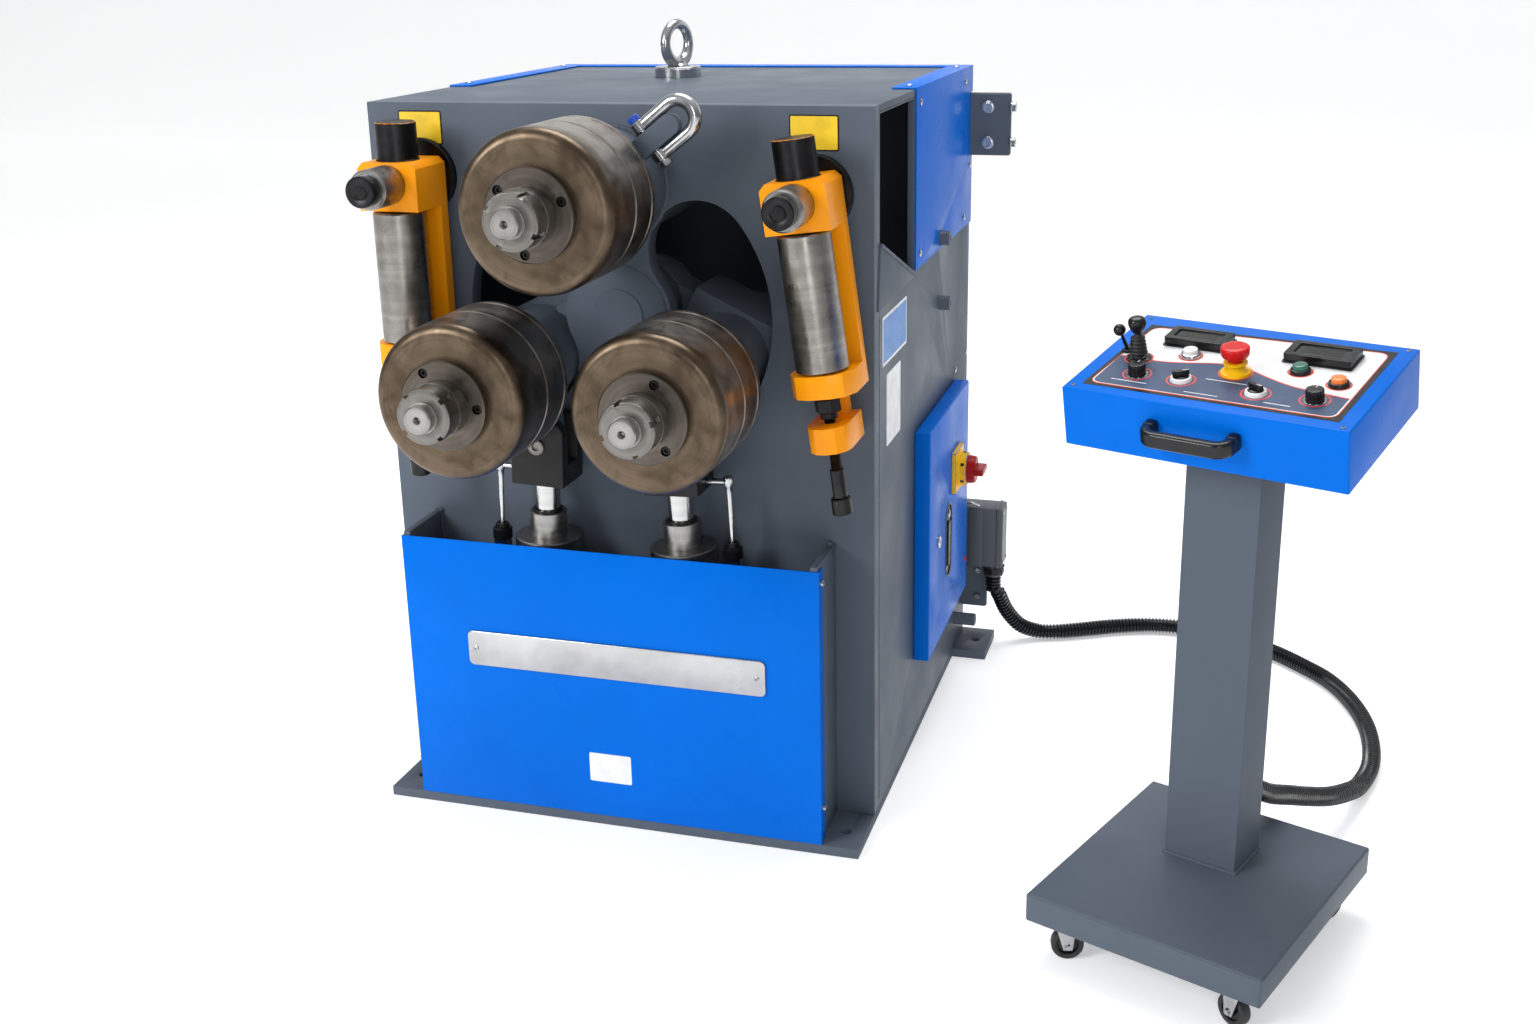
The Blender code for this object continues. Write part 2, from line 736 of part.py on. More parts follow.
def shackle_point(radial, sideways):
    angle = math.radians(SHACKLE_LUG_ANGLE)
    return Vector((radial * math.cos(angle) - sideways * math.sin(angle), forward(SHACKLE_LUG_Y),
                   UPPER_ROLL_Z + radial * math.sin(angle) + sideways * math.cos(angle)))


def shackle_pin_ends(reach):
    return shackle_point(SHACKLE_PIN_RADIAL, -reach), shackle_point(SHACKLE_PIN_RADIAL, reach)


def shackle():
    offset = SHACKLE_LEG_OFFSET
    leg_end = SHACKLE_PIN_RADIAL + SHACKLE_LEG_LENGTH
    bow = [shackle_point(SHACKLE_PIN_RADIAL - 0.008, -offset), shackle_point(leg_end, -offset)]
    bow += [shackle_point(leg_end + r, s) for r, s in arc((0, 0), offset, -90, 90, 8)[1:-1]]
    bow += [shackle_point(leg_end, offset), shackle_point(SHACKLE_PIN_RADIAL - 0.008, offset)]
    body = tube("bow", bow, SHACKLE_WIRE, 2)
    start, end = shackle_pin_ends(offset + SHACKLE_WIRE + 0.004)
    join(body, cylinder("shackle pin", start, end, SHACKLE_PIN_RADIUS, 16))
    start, end = shackle_pin_ends(offset + SHACKLE_WIRE + 0.012)
    head_start = shackle_point(SHACKLE_PIN_RADIAL, offset + SHACKLE_WIRE - 0.002)
    join(body, cylinder("pin head", head_start, end, SHACKLE_WIRE, 12))
    return part(body, "lifting_shackle", STEEL, axis_point=shackle_point(SHACKLE_PIN_RADIAL, 0.0))


def side_outline_start():
    return PLATE_BACK + SEAT


def left_side_plate():
    low = (side_outline_start(), BODY_FLOOR)
    high = (REAR_Y - REAR_THICKNESS - SEAT, BODY_HEIGHT - TOP_THICKNESS - SEAT)
    body = plate("left side", "YZ", rectangle(low, high), -HALF_WIDTH, -HALF_WIDTH + SIDE_THICKNESS)
    return part(body, "left_side_plate", GREY)


def right_side_plate():
    low = (side_outline_start(), BODY_FLOOR)
    high = (REAR_Y - REAR_THICKNESS - SEAT, BODY_HEIGHT - TOP_THICKNESS - SEAT)
    window = [(FRONT_Y + WINDOW_START, WINDOW_LOW_FRONT), (FRONT_Y + WINDOW_END, WINDOW_LOW_REAR),
              (FRONT_Y + WINDOW_END, WINDOW_TOP), (FRONT_Y + WINDOW_START, WINDOW_TOP)]
    door = rounded((FRONT_Y + DOOR_START + TUB_MARGIN, DOOR_LOW + TUB_MARGIN),
                   (FRONT_Y + DOOR_END - TUB_MARGIN, DOOR_HIGH - TUB_MARGIN), 0.01, 2)
    body = plate("right side", "YZ", rectangle(low, high), HALF_WIDTH - SIDE_THICKNESS, HALF_WIDTH,
                 [window, door])
    for depth, height in STUDS:
        join(body, cylinder("stud", (HALF_WIDTH - SIDE_THICKNESS / 2, FRONT_Y + depth, height),
                            (HALF_WIDTH + STUD_LENGTH, FRONT_Y + depth, height), STUD_RADIUS, 20))
    rear = bracket_rear()
    for reach, bottom, top in ((BRACKET_REACH, BRACKET_LOW, BRACKET_HIGH),
                               (LOW_BRACKET_REACH, LOW_BRACKET_LOW, LOW_BRACKET_HIGH)):
        bracket = soften(box("bracket", (HALF_WIDTH - SIDE_THICKNESS / 2, rear - BRACKET_THICKNESS, bottom),
                             (HALF_WIDTH + reach, rear, top)), 0.003)
        join(body, bracket)
    return part(body, "right_side_plate", GREY)


def bracket_rear():
    return REAR_Y - REAR_THICKNESS - 4 * SEAT


def top_plate():
    body = box("top", (-HALF_WIDTH, side_outline_start(), BODY_HEIGHT - TOP_THICKNESS),
               (HALF_WIDTH, REAR_Y - REAR_THICKNESS - SEAT, BODY_HEIGHT))
    eye_hole = hole("eye hole", (EYE_PLACE[0], FRONT_Y + EYE_PLACE[1], BODY_HEIGHT - CUT_REACH),
                    (EYE_PLACE[0], FRONT_Y + EYE_PLACE[1],
                     BODY_HEIGHT + CUT_REACH), EYE_FOOT_RADIUS / 2 + SEAT, 16)
    cut(body, eye_hole)
    return part(body, "top_plate", GREY)


def rear_panel():
    body = box("rear", (-HALF_WIDTH, REAR_Y - REAR_THICKNESS, BODY_FLOOR), (HALF_WIDTH, REAR_Y, BODY_HEIGHT))
    return part(body, "rear_panel", BLUE)


def rear_hood():
    """The folded blue sheet over the rear of both sides and the back edge of the top."""
    outer = HALF_WIDTH + SEAT + HOOD_THICKNESS
    roof = BODY_HEIGHT + SEAT
    body = box("rear strip", (-outer, REAR_Y - HOOD_FLANGE, roof), (outer, REAR_Y, roof + HOOD_THICKNESS))
    for side, flange_start in ((1, HOOD_START), (-1, HOOD_START)):
        inner = side * (outer - HOOD_FLANGE)
        join(body, box("flange", (min(inner, side * outer), FRONT_Y + flange_start, roof),
                       (max(inner, side * outer), REAR_Y - SEAT, roof + HOOD_THICKNESS)))
        wall = side * (HALF_WIDTH + SEAT)
        join(body, box("hood side", (min(wall, side * outer), FRONT_Y + flange_start, HOOD_LOW),
                       (max(wall, side * outer), REAR_Y - 2 * SEAT, roof + HOOD_THICKNESS / 2)))
    depth, height = STUDS[0]
    cut(body, hole("stud hole", (HALF_WIDTH - CUT_REACH, FRONT_Y + depth, height),
                       (HALF_WIDTH + CUT_REACH, FRONT_Y + depth, height), STUD_RADIUS + HOOD_CLEARANCE, 16))
    front = bracket_rear() - BRACKET_THICKNESS - HOOD_CLEARANCE
    cut(body, box("bracket notch", (HALF_WIDTH - CUT_REACH, front, BRACKET_LOW - HOOD_CLEARANCE),
                  (HALF_WIDTH + CUT_REACH, REAR_Y + CUT_REACH, BRACKET_HIGH + HOOD_CLEARANCE)))
    return part(body, "rear_hood", BLUE)


def front_cover():
    front = forward(BASE_REACH)
    body = box("cover", (-COVER_HALF_WIDTH, front, BODY_FLOOR),
               (COVER_HALF_WIDTH, front + COVER_SHEET, COVER_TOP))
    for side in (-1, 1):
        inner = side * (COVER_HALF_WIDTH - COVER_SHEET)
        outer = side * COVER_HALF_WIDTH
        join(body, box("return", (min(inner, outer), front + COVER_SHEET / 2, BODY_FLOOR + SEAT),
                       (max(inner, outer), front + COVER_RETURN, COVER_TOP - SEAT)))
    return part(body, "front_cover", BLUE)


def lifting_eye():
    x, y = EYE_PLACE[0], FRONT_Y + EYE_PLACE[1]
    base = BODY_HEIGHT + SEAT
    profile = [(0, base + EYE_COLLAR_HEIGHT + 0.012), (EYE_FOOT_RADIUS * 0.6,
                                                       base + EYE_COLLAR_HEIGHT + 0.012),
               (EYE_FOOT_RADIUS, base + EYE_COLLAR_HEIGHT), (EYE_COLLAR_RADIUS, base + EYE_COLLAR_HEIGHT),
               (EYE_COLLAR_RADIUS, base),
               (EYE_FOOT_RADIUS / 2, base), (EYE_FOOT_RADIUS / 2, BODY_HEIGHT - TOP_THICKNESS - 0.01),
               (0, BODY_HEIGHT - TOP_THICKNESS - 0.01)]
    body = turned("eye", profile, (x, y, 0), (0, 0, 1), 14)
    middle = base + EYE_COLLAR_HEIGHT + EYE_RING_RADIUS + EYE_RING_WIRE * 0.8
    turn = math.radians(EYE_TURN)
    ring = [Vector((x + r * math.cos(turn), y + r * math.sin(turn), middle + h))
            for r, h in arc((0, 0), EYE_RING_RADIUS, -90, 270, 14)]
    mesh = torus("ring", ring, EYE_RING_WIRE, Vector((x, y, middle)))
    return part(join(body, mesh), "lifting_eye", STEEL)


def torus(name, ring, wire, centre):
    """A closed round ring through points that lie on a circle about a centre."""
    first = ring[0] - centre
    normal = first.cross(ring[len(ring) // 4] - centre).normalized()
    shape = bmesh.new()
    rows = []
    sides = 7
    for point in ring[:-1]:
        out = (point - centre).normalized()
        angles = [2 * math.pi * k / sides for k in range(sides)]
        rows.append([shape.verts.new(point + out * wire * math.cos(a) + normal * wire * math.sin(a)) for a in angles])
    for i, row in enumerate(rows):
        following = rows[(i + 1) % len(rows)]
        for k in range(sides):
            shape.faces.new((row[k], row[(k + 1) % sides], following[(k + 1) % sides], following[k]))
    bmesh.ops.recalc_face_normals(shape, faces=shape.faces)
    obj = from_bmesh(name, shape)
    smooth(obj)
    return obj


# Rolls, shafts and swing arms
def roll_place(name):
    """The rest place of a roll's axis across and up the front plate."""
    if name == "upper":
        return 0.0, UPPER_ROLL_Z
    x, z = polar((0.0, PIVOT_Z), SWING_RADIUS, REST_ANGLE)
    return SIDES[name] * x, z


def roll(name):
    x, z = roll_place(name)
    rim = (ROLL_RADIUS - ROLL_FACE_RADIUS)
    bore = clear_radius(SHAFT_RADIUS + SEAT, ROLL_SIDES)
    profile = [(bore, ROLL_FRONT)]
    profile += [(ROLL_FACE_RADIUS + rim * math.sin(a), ROLL_FRONT - rim + rim * math.cos(a))
                for a in (math.radians(45 * i) for i in range(3))]
    half = ROLL_SEAM_WIDTH / 2
    for seam in ROLL_SEAMS:
        profile += [(ROLL_RADIUS, seam + half), (ROLL_RADIUS - ROLL_SEAM_DEPTH, seam),
                    (ROLL_RADIUS, seam - half)]
    profile += [(ROLL_RADIUS, ROLL_BACK), (bore, ROLL_BACK), (bore, ROLL_FRONT)]
    body = turned(name, profile, (x, FRONT_Y, z), (0, -1, 0), ROLL_SIDES)
    return part(body, name + "_roll", ROLL_STEEL, axis_point=(x, FRONT_Y, z))


def shaft(name):
    x, z = roll_place(name)
    collar_front = ROLL_BACK - SEAT
    profile = [(0, SHAFT_NOSE), (SHAFT_NOSE_RADIUS, SHAFT_NOSE), (SHAFT_NOSE_RADIUS, NUT_FRONT),
               (NUT_RADIUS, NUT_FRONT), (NUT_RADIUS, WASHER_FRONT), (WASHER_RADIUS, WASHER_FRONT),
               (WASHER_RADIUS, ROLL_FRONT + SEAT),
               (SHAFT_RADIUS, ROLL_FRONT + SEAT), (SHAFT_RADIUS, collar_front), (COLLAR_RADIUS, collar_front),
               (COLLAR_RADIUS, collar_front - COLLAR_LENGTH), (JOURNAL_RADIUS, collar_front - COLLAR_LENGTH),
               (JOURNAL_RADIUS, -SHAFT_REAR), (0, -SHAFT_REAR)]
    body = turned(name, profile, (x, FRONT_Y, z), (0, -1, 0), SHAFT_SIDES)
    for i in range(3):
        place = polar((x, z), BOLT_CIRCLE, BOLT_START[name] + 120 * i)
        cut(body, cylinder("bolt pocket", (place[0], forward(WASHER_FRONT + 0.01), place[1]),
                           (place[0], forward(WASHER_FRONT - BOLT_POCKET_DEPTH), place[1]), BOLT_POCKET, 6))
    for i in range(4):
        slot = box("nut slot", (NUT_RADIUS - NUT_SLOT_DEPTH, forward(NUT_FRONT + 0.01), -NUT_SLOT_WIDTH / 2),
                   (NUT_RADIUS + 0.01, forward(NUT_FRONT - NUT_SLOT_LENGTH), NUT_SLOT_WIDTH / 2))
        angle = math.radians(BOLT_START[name] + 40 + 90 * i)
        slot.matrix_basis = Matrix.Translation((x, 0, z)) @ Matrix.Rotation(-angle, 4, "Y")
        cut(body, slot)
    return part(body, name + "_shaft", STEEL, axis_point=(x, FRONT_Y, z))


def upper_gear_motor():
    start = PLATE_BACK + SEAT
    body = cylinder("motor housing", (0, start, UPPER_ROLL_Z), (0, FRONT_Y + HOUSING_REAR, UPPER_ROLL_Z),
                    HOUSING_RADIUS + 0.01, 18)
    join(body, cylinder("motor", (0, FRONT_Y + HOUSING_REAR - 0.01, UPPER_ROLL_Z),
                        (0, FRONT_Y + HOUSING_REAR + MOTOR_LENGTH, UPPER_ROLL_Z), MOTOR_RADIUS, 14))
    cut(body, hole("motor bore", (0, start - CUT_REACH, UPPER_ROLL_Z),
                       (0, FRONT_Y + SHAFT_REAR + 0.004, UPPER_ROLL_Z), JOURNAL_RADIUS + RUNNING, SHAFT_SIDES))
    return part(body, "upper_gear_motor", DARK)


def beam_outline(side, start, end, half):
    """A bar's outline along the line from the pivot to the lower roll."""
    angle = math.radians(REST_ANGLE)
    points = [(start, -half), (end, -half), (end, half), (start, half)]
    return [(side * (s * math.cos(angle) - t * math.sin(angle)),
             PIVOT_Z + s * math.sin(angle) + t * math.cos(angle))
            for s, t in points]


def hub_layer(name):
    """The Y range of an arm's hub: the left one lies in front of the right one on the common pin."""
    start = FRONT_Y + HUB_START + (HUB_LENGTH + HUB_GAP if name == "right" else 0.0)
    return start, start + HUB_LENGTH


def hull_outline(first, first_radius, second, second_radius, steps=6):
    """The outline of two round ends joined by straight tangents."""
    dx, dz = second[0] - first[0], second[1] - first[1]
    heading = math.degrees(math.atan2(dz, dx))
    lean = math.degrees(math.acos((first_radius - second_radius) / math.hypot(dx, dz)))
    return (arc(second, second_radius, heading - lean, heading + lean, steps)
            + arc(first, first_radius, heading + lean, heading + 360 - lean, steps))


def swing_arm(name):
    side = SIDES[name]
    x, z = roll_place(name)
    low, high = hub_layer(name)
    body = cylinder("hub", (0, low, PIVOT_Z), (0, high, PIVOT_Z), HUB_RADIUS, 18)
    join(body, plate("neck", "XZ", beam_outline(side, HUB_RADIUS / 2, HUB_RADIUS + 0.05, HUB_RADIUS * 0.8),
                     low + SEAT, high - SEAT))
    join(body, plate("beam", "XZ", beam_outline(side, HUB_RADIUS + 0.016, BEAM_REACH, BEAM_HALF_HEIGHT),
                     FRONT_Y + BEAM_START, FRONT_Y + BEAM_END))
    join(body, cylinder("housing", (x, forward(HOUSING_FRONT), z), (x, FRONT_Y + HOUSING_REAR, z),
                        HOUSING_RADIUS, 22))
    join(body, cylinder("motor", (x, FRONT_Y + HOUSING_REAR - 0.01, z),
                        (x, FRONT_Y + HOUSING_REAR + MOTOR_LENGTH, z), MOTOR_RADIUS, 14))
    pin = (side * CLEVIS_PIN[0], CLEVIS_PIN[1])
    middle = forward(CYLINDER_Y)
    join(body, plate("arm lug", "XZ", hull_outline((x, z), LUG_ROOT_RADIUS, pin, LUG_TIP_RADIUS),
                     middle - LUG_THICKNESS / 2, middle + LUG_THICKNESS / 2))
    cut(body, hole("hub bore", (0, low - CUT_REACH, PIVOT_Z), (0, high + CUT_REACH, PIVOT_Z),
                       PIVOT_RADIUS + RUNNING, 16))
    cut(body, hole("shaft bore", (x, forward(HOUSING_FRONT + CUT_REACH), z),
                       (x, FRONT_Y + SHAFT_REAR + 0.004, z), JOURNAL_RADIUS + RUNNING, SHAFT_SIDES))
    cut(body, hole("pin hole", (pin[0], middle - LUG_THICKNESS, pin[1]),
                   (pin[0], middle + LUG_THICKNESS, pin[1]),
                       CLEVIS_PIN_RADIUS + RUNNING, 14))
    return part(body, name + "_arm", GREY, axis_point=(0, FRONT_Y, PIVOT_Z))


# Hydraulic cylinders with their clevises and sensors
def cylinder_frame(name):
    """A frame with its origin on the foot pin, +Z towards the clevis pin and +X to the machine's outside."""
    side = SIDES[name]
    foot = Vector((side * FOOT_PIN[0], forward(CYLINDER_Y), FOOT_PIN[1]))
    along = (Vector((side * CLEVIS_PIN[0], forward(CYLINDER_Y), CLEVIS_PIN[1])) - foot).normalized()
    across = Vector((0, 1, 0)).cross(along)
    turn = Matrix((across, Vector((0, 1, 0)), along)).transposed().to_4x4()
    return Matrix.Translation(foot) @ turn


def pin_distance():
    return math.hypot(CLEVIS_PIN[0] - FOOT_PIN[0], CLEVIS_PIN[1] - FOOT_PIN[1])


def barrel(name, frame):
    side = SIDES[name]
    bore = clear_radius(ROD_RADIUS + RUNNING, BARREL_SIDES)
    profile = [(0, ROD_LOW - 0.006), (BARREL_BORE, ROD_LOW - 0.006), (BARREL_BORE, BARREL_TOP - 0.03),
               (bore, BARREL_TOP - 0.03), (bore, GLAND_TOP),
               (GLAND_RADIUS, GLAND_TOP), (GLAND_RADIUS, BARREL_TOP),
               (BARREL_RADIUS, BARREL_TOP), (BARREL_RADIUS, BARREL_LOW),
               (0, BARREL_LOW)]
    body = turned("barrel", profile, (0, 0, 0), (0, 0, 1), BARREL_SIDES)
    outline = [(-EYE_RADIUS, BARREL_LOW + 0.01), *arc((0, 0), EYE_RADIUS, 180, 360, 8),
               (EYE_RADIUS, BARREL_LOW + 0.01)]
    eye = plate("eye", "XZ", outline, -EYE_WIDTH / 2, EYE_WIDTH / 2,
                [circle((0, 0), clear_radius(FOOT_PIN_RADIUS + EYE_PLAY, EYE_SIDES), EYE_SIDES)])
    join(body, eye)
    at = side * SENSOR_OFFSET
    join(body, cylinder("sensor", (at, 0, SENSOR_LOW), (at, 0, SENSOR_CAP_LOW), SENSOR_RADIUS, 10))
    join(body, cylinder("sensor cap", (at, 0, SENSOR_CAP_LOW - 0.002), (at, 0, SENSOR_TOP),
                        SENSOR_CAP_RADIUS, 10))
    for height in SENSOR_CLAMPS:
        inner, outer = side * (BARREL_RADIUS - 0.006), side * (SENSOR_OFFSET - SENSOR_RADIUS / 2)
        join(body, box("clamp", (min(inner, outer), -0.008, height),
                       (max(inner, outer), 0.008, height + 0.02)))
    low = pin_distance() - SENSOR_JOINT_BELOW - SENSOR_ROD_LENGTH - 0.02
    cut(body, hole("sensor bore", (at, 0, low), (at, 0, SENSOR_TOP + CUT_REACH), SENSOR_BORE, 6))
    return part(body, name + "_cylinder", STEEL, frame=frame)


def piston_rod(name, frame):
    top = pin_distance() - CLEVIS_BELOW - SEAT
    profile = [(0, top), (ROD_RADIUS, top), (ROD_RADIUS, ROD_LOW + PISTON_THICKNESS),
               (BARREL_BORE - RUNNING, ROD_LOW + PISTON_THICKNESS), (BARREL_BORE - RUNNING, ROD_LOW),
               (0, ROD_LOW)]
    body = turned("rod", profile, (0, 0, 0), (0, 0, 1), BARREL_SIDES)
    return part(body, name + "_piston_rod", CHROME, frame=frame)


def clevis(name, frame):
    side = SIDES[name]
    height = pin_distance()
    half = CLEVIS_WIDTH / 2
    top = height + CLEVIS_ABOVE
    outline = [(-half, height - CLEVIS_BELOW), (half, height - CLEVIS_BELOW)]
    outline += arc((half - CLEVIS_CORNER, top - CLEVIS_CORNER), CLEVIS_CORNER, 0, 90, 4)
    outline += arc((CLEVIS_CORNER - half, top - CLEVIS_CORNER), CLEVIS_CORNER, 90, 180, 4)
    body = plate("clevis", "XZ", outline, -CLEVIS_DEPTH / 2, CLEVIS_DEPTH / 2)
    slot = LUG_THICKNESS / 2 + 0.0015
    cut(body, box("slot", (-CLEVIS_WIDTH, -slot, height - CLEVIS_SLOT_FLOOR),
                  (CLEVIS_WIDTH, slot, top + CUT_REACH)))
    join(body, cylinder("pin", (0, -CLEVIS_DEPTH / 2 + 0.01, height), (0, CLEVIS_DEPTH / 2 - 0.01, height),
                        CLEVIS_PIN_RADIUS, 10))
    join(body, cylinder("pin head", (0, -CLEVIS_DEPTH / 2 - PIN_HEAD_HEIGHT, height),
                        (0, -CLEVIS_DEPTH / 2 + 0.005, height), PIN_HEAD_RADIUS, 12))
    cut(body, cylinder("hex socket", (0, -CLEVIS_DEPTH / 2 - PIN_HEAD_HEIGHT - 0.01, height),
                       (0, -CLEVIS_DEPTH / 2 + 0.002, height), 0.006, 6))
    joint = height - SENSOR_JOINT_BELOW + 0.012
    at = side * SENSOR_OFFSET
    join(body, cylinder("link", (side * (half - 0.01), 0, joint), (at, 0, joint), 0.0065, 8))
    join(body, ball("ball joint", (at, 0, joint), SENSOR_JOINT_RADIUS, 8))
    join(body, cylinder("sensor rod", (at, 0, joint - SENSOR_ROD_LENGTH), (at, 0, joint), SENSOR_ROD_RADIUS,
                        6))
    return part(body, name + "_clevis", BLACK, axis_point=(0, 0, height), frame=frame)


def cylinder_set(name):
    frame = empty(name + "_cylinder_frame", cylinder_frame(name))
    barrel(name, frame)
    piston_rod(name, frame)
    clevis(name, frame)


# Lateral guides
def guide_post(name):
    x, z = SIDES[name] * GUIDE_X, GUIDE_Z[name]
    profile = [(0, POST_CAP_FRONT), (POST_CAP_RADIUS, POST_CAP_FRONT), (POST_CAP_RADIUS, SLEEVE_FRONT),
               (SLEEVE_RADIUS, SLEEVE_FRONT), (SLEEVE_RADIUS, BLOCK_FRONT + SEAT),
               (POST_RADIUS, BLOCK_FRONT + SEAT), (POST_RADIUS, POST_DISC_FRONT),
               (POST_DISC_RADIUS, POST_DISC_FRONT),
               (POST_DISC_RADIUS, SEAT), (POST_RADIUS, SEAT), (POST_RADIUS, -FRONT_THICKNESS - 0.012),
               (0, -FRONT_THICKNESS - 0.012)]
    body = turned("post", profile, (x, FRONT_Y, z), (0, -1, 0), 18)
    return part(body, name + "_guide_post", STEEL)


def guide_frame(name):
    """A frame on the post's axis at the front plate, tilted as the bracket hangs."""
    place = Matrix.Translation((SIDES[name] * GUIDE_X, FRONT_Y, GUIDE_Z[name]))
    return place @ Matrix.Rotation(math.radians(GUIDE_TILT[name]), 4, "Y")


def guide_bracket(name, frame):
    half = BLOCK_HALF_WIDTH
    block = plate("block", "XZ", [(-half, BLOCK_LOW), (half, BLOCK_LOW), (half, BLOCK_HIGH - 0.010),
                                  (half - 0.010, BLOCK_HIGH), (-half + 0.010, BLOCK_HIGH),
                                  (-half, BLOCK_HIGH - 0.010)],
                  -BLOCK_FRONT, -BLOCK_BACK)
    join(block, box("back plate", (-half, -BLOCK_BACK - BACK_PLATE_THICKNESS, LUG_LOW + SEAT),
                    (half, -BLOCK_BACK - SEAT, BLOCK_LOW + 0.01)))
    lug = [(-half, -BLOCK_BACK - 2 * SEAT), (-half, -LUG_FRONT + 0.035)]
    lug += [(-half + 0.014, -LUG_FRONT + 0.009), (-half + 0.035, -LUG_FRONT), (half - 0.035, -LUG_FRONT),
            (half - 0.014, -LUG_FRONT + 0.009), (half, -LUG_FRONT + 0.035), (half, -BLOCK_BACK - 2 * SEAT)]
    join(block, plate("lug", "XY", lug, LUG_LOW, LUG_HIGH))
    tongue = box("tongue", (-0.018, -BLOCK_BACK - BACK_PLATE_THICKNESS + SEAT, NUT_BLOCK_LOW + SEAT),
                 (0.018, -BLOCK_BACK - 2 * SEAT, LUG_LOW + 0.01))
    join(block, tongue)
    nut_half = NUT_BLOCK_HALF_WIDTH
    nut = [(-nut_half, -BLOCK_BACK - 3 * SEAT), (-nut_half, -GUIDE_ROLLER_Y - 0.012),
           *[(x, y - GUIDE_ROLLER_Y - 0.012) for x, y in arc((0, 0), nut_half, 180, 360, 6)[1:-1]],
           (nut_half, -GUIDE_ROLLER_Y - 0.012), (nut_half, -BLOCK_BACK - 3 * SEAT)]
    join(block, plate("nut block", "XY", nut, NUT_BLOCK_LOW, NUT_BLOCK_HIGH))
    cut(block, hole("post bore", (0, -BLOCK_FRONT - CUT_REACH, 0), (0, 0, 0), POST_RADIUS + RUNNING, 20))
    cut(block, hole("axle bore", (0, -GUIDE_ROLLER_Y, LUG_LOW - 0.003),
                    (0, -GUIDE_ROLLER_Y, LUG_HIGH + 0.005),
                        AXLE_RADIUS + SEAT, 12))
    cut(block, hole("axle pocket", (0, -GUIDE_ROLLER_Y, BLOCK_LOW - 0.005),
                    (0, -GUIDE_ROLLER_Y, BLOCK_LOW + 0.012),
                        AXLE_RADIUS + SEAT, 12))
    cut(block, hole("screw bore", (0, -GUIDE_ROLLER_Y, NUT_BLOCK_LOW - 0.003),
                        (0, -GUIDE_ROLLER_Y, NUT_BLOCK_HIGH + 0.005), SCREW_RADIUS + SEAT, 10))
    head = cylinder("axle head", (0, -GUIDE_ROLLER_Y + 0.012, BLOCK_HIGH - 0.006),
                    (0, -GUIDE_ROLLER_Y + 0.012, AXLE_HEAD_TOP), AXLE_HEAD_RADIUS, 16)
    join(block, head)
    return part(block, name + "_guide_bracket", ORANGE, frame=frame)


def guide_roller(name, frame):
    bore = clear_radius(AXLE_RADIUS + RUNNING, GUIDE_ROLLER_SIDES)
    profile = [(bore, GUIDE_ROLLER_HIGH), (GUIDE_ROLLER_RADIUS, GUIDE_ROLLER_HIGH),
               (GUIDE_ROLLER_RADIUS, GUIDE_ROLLER_LOW), (bore, GUIDE_ROLLER_LOW), (bore, GUIDE_ROLLER_HIGH)]
    body = turned("roller", profile, (0, -GUIDE_ROLLER_Y, 0), (0, 0, 1), GUIDE_ROLLER_SIDES)
    return part(body, name + "_guide_roller", STEEL, frame=frame)


def guide_screw(name, frame):
    """The axle with its nuts below the lug, and the adjusting screw through the nut block."""
    y = -GUIDE_ROLLER_Y
    body = cylinder("axle", (0, y, AXLE_NUT_LOW), (0, y, BLOCK_LOW + 0.010), AXLE_RADIUS, 12)
    join(body, cylinder("axle nut", (0, y, LUG_LOW - 0.030), (0, y, LUG_LOW - SEAT), AXLE_NUT_RADIUS, 6))
    join(body, cylinder("screw", (0, y, SCREW_LOW + 0.01), (0, y, AXLE_NUT_LOW + 0.01), SCREW_RADIUS, 10))
    join(body, cylinder("screw head", (0, y, SCREW_LOW - SCREW_HEAD_LENGTH), (0, y, SCREW_LOW),
                        SCREW_HEAD_RADIUS, 12))
    join(body, cylinder("screw collar", (0, y, SCREW_LOW), (0, y, SCREW_LOW + 0.05), SCREW_RADIUS * 1.3, 10))
    cut(body, cylinder("hex socket", (0, y, SCREW_LOW - SCREW_HEAD_LENGTH - 0.01),
                       (0, y, SCREW_LOW - SCREW_HEAD_LENGTH + 0.012), 0.008, 6))
    return part(body, name + "_guide_screw", BLACK, frame=frame)


def guide(name):
    guide_post(name)
    frame = empty(name + "_guide_frame", guide_frame(name))
    guide_bracket(name, frame)
    guide_roller(name, frame)
    guide_screw(name, frame)


# Cabinet door, tub, main switch, connector and hydraulic unit
def door_axis():
    return HALF_WIDTH + SEAT + DOOR_SHEET, FRONT_Y + DOOR_END + DOOR_SHEET


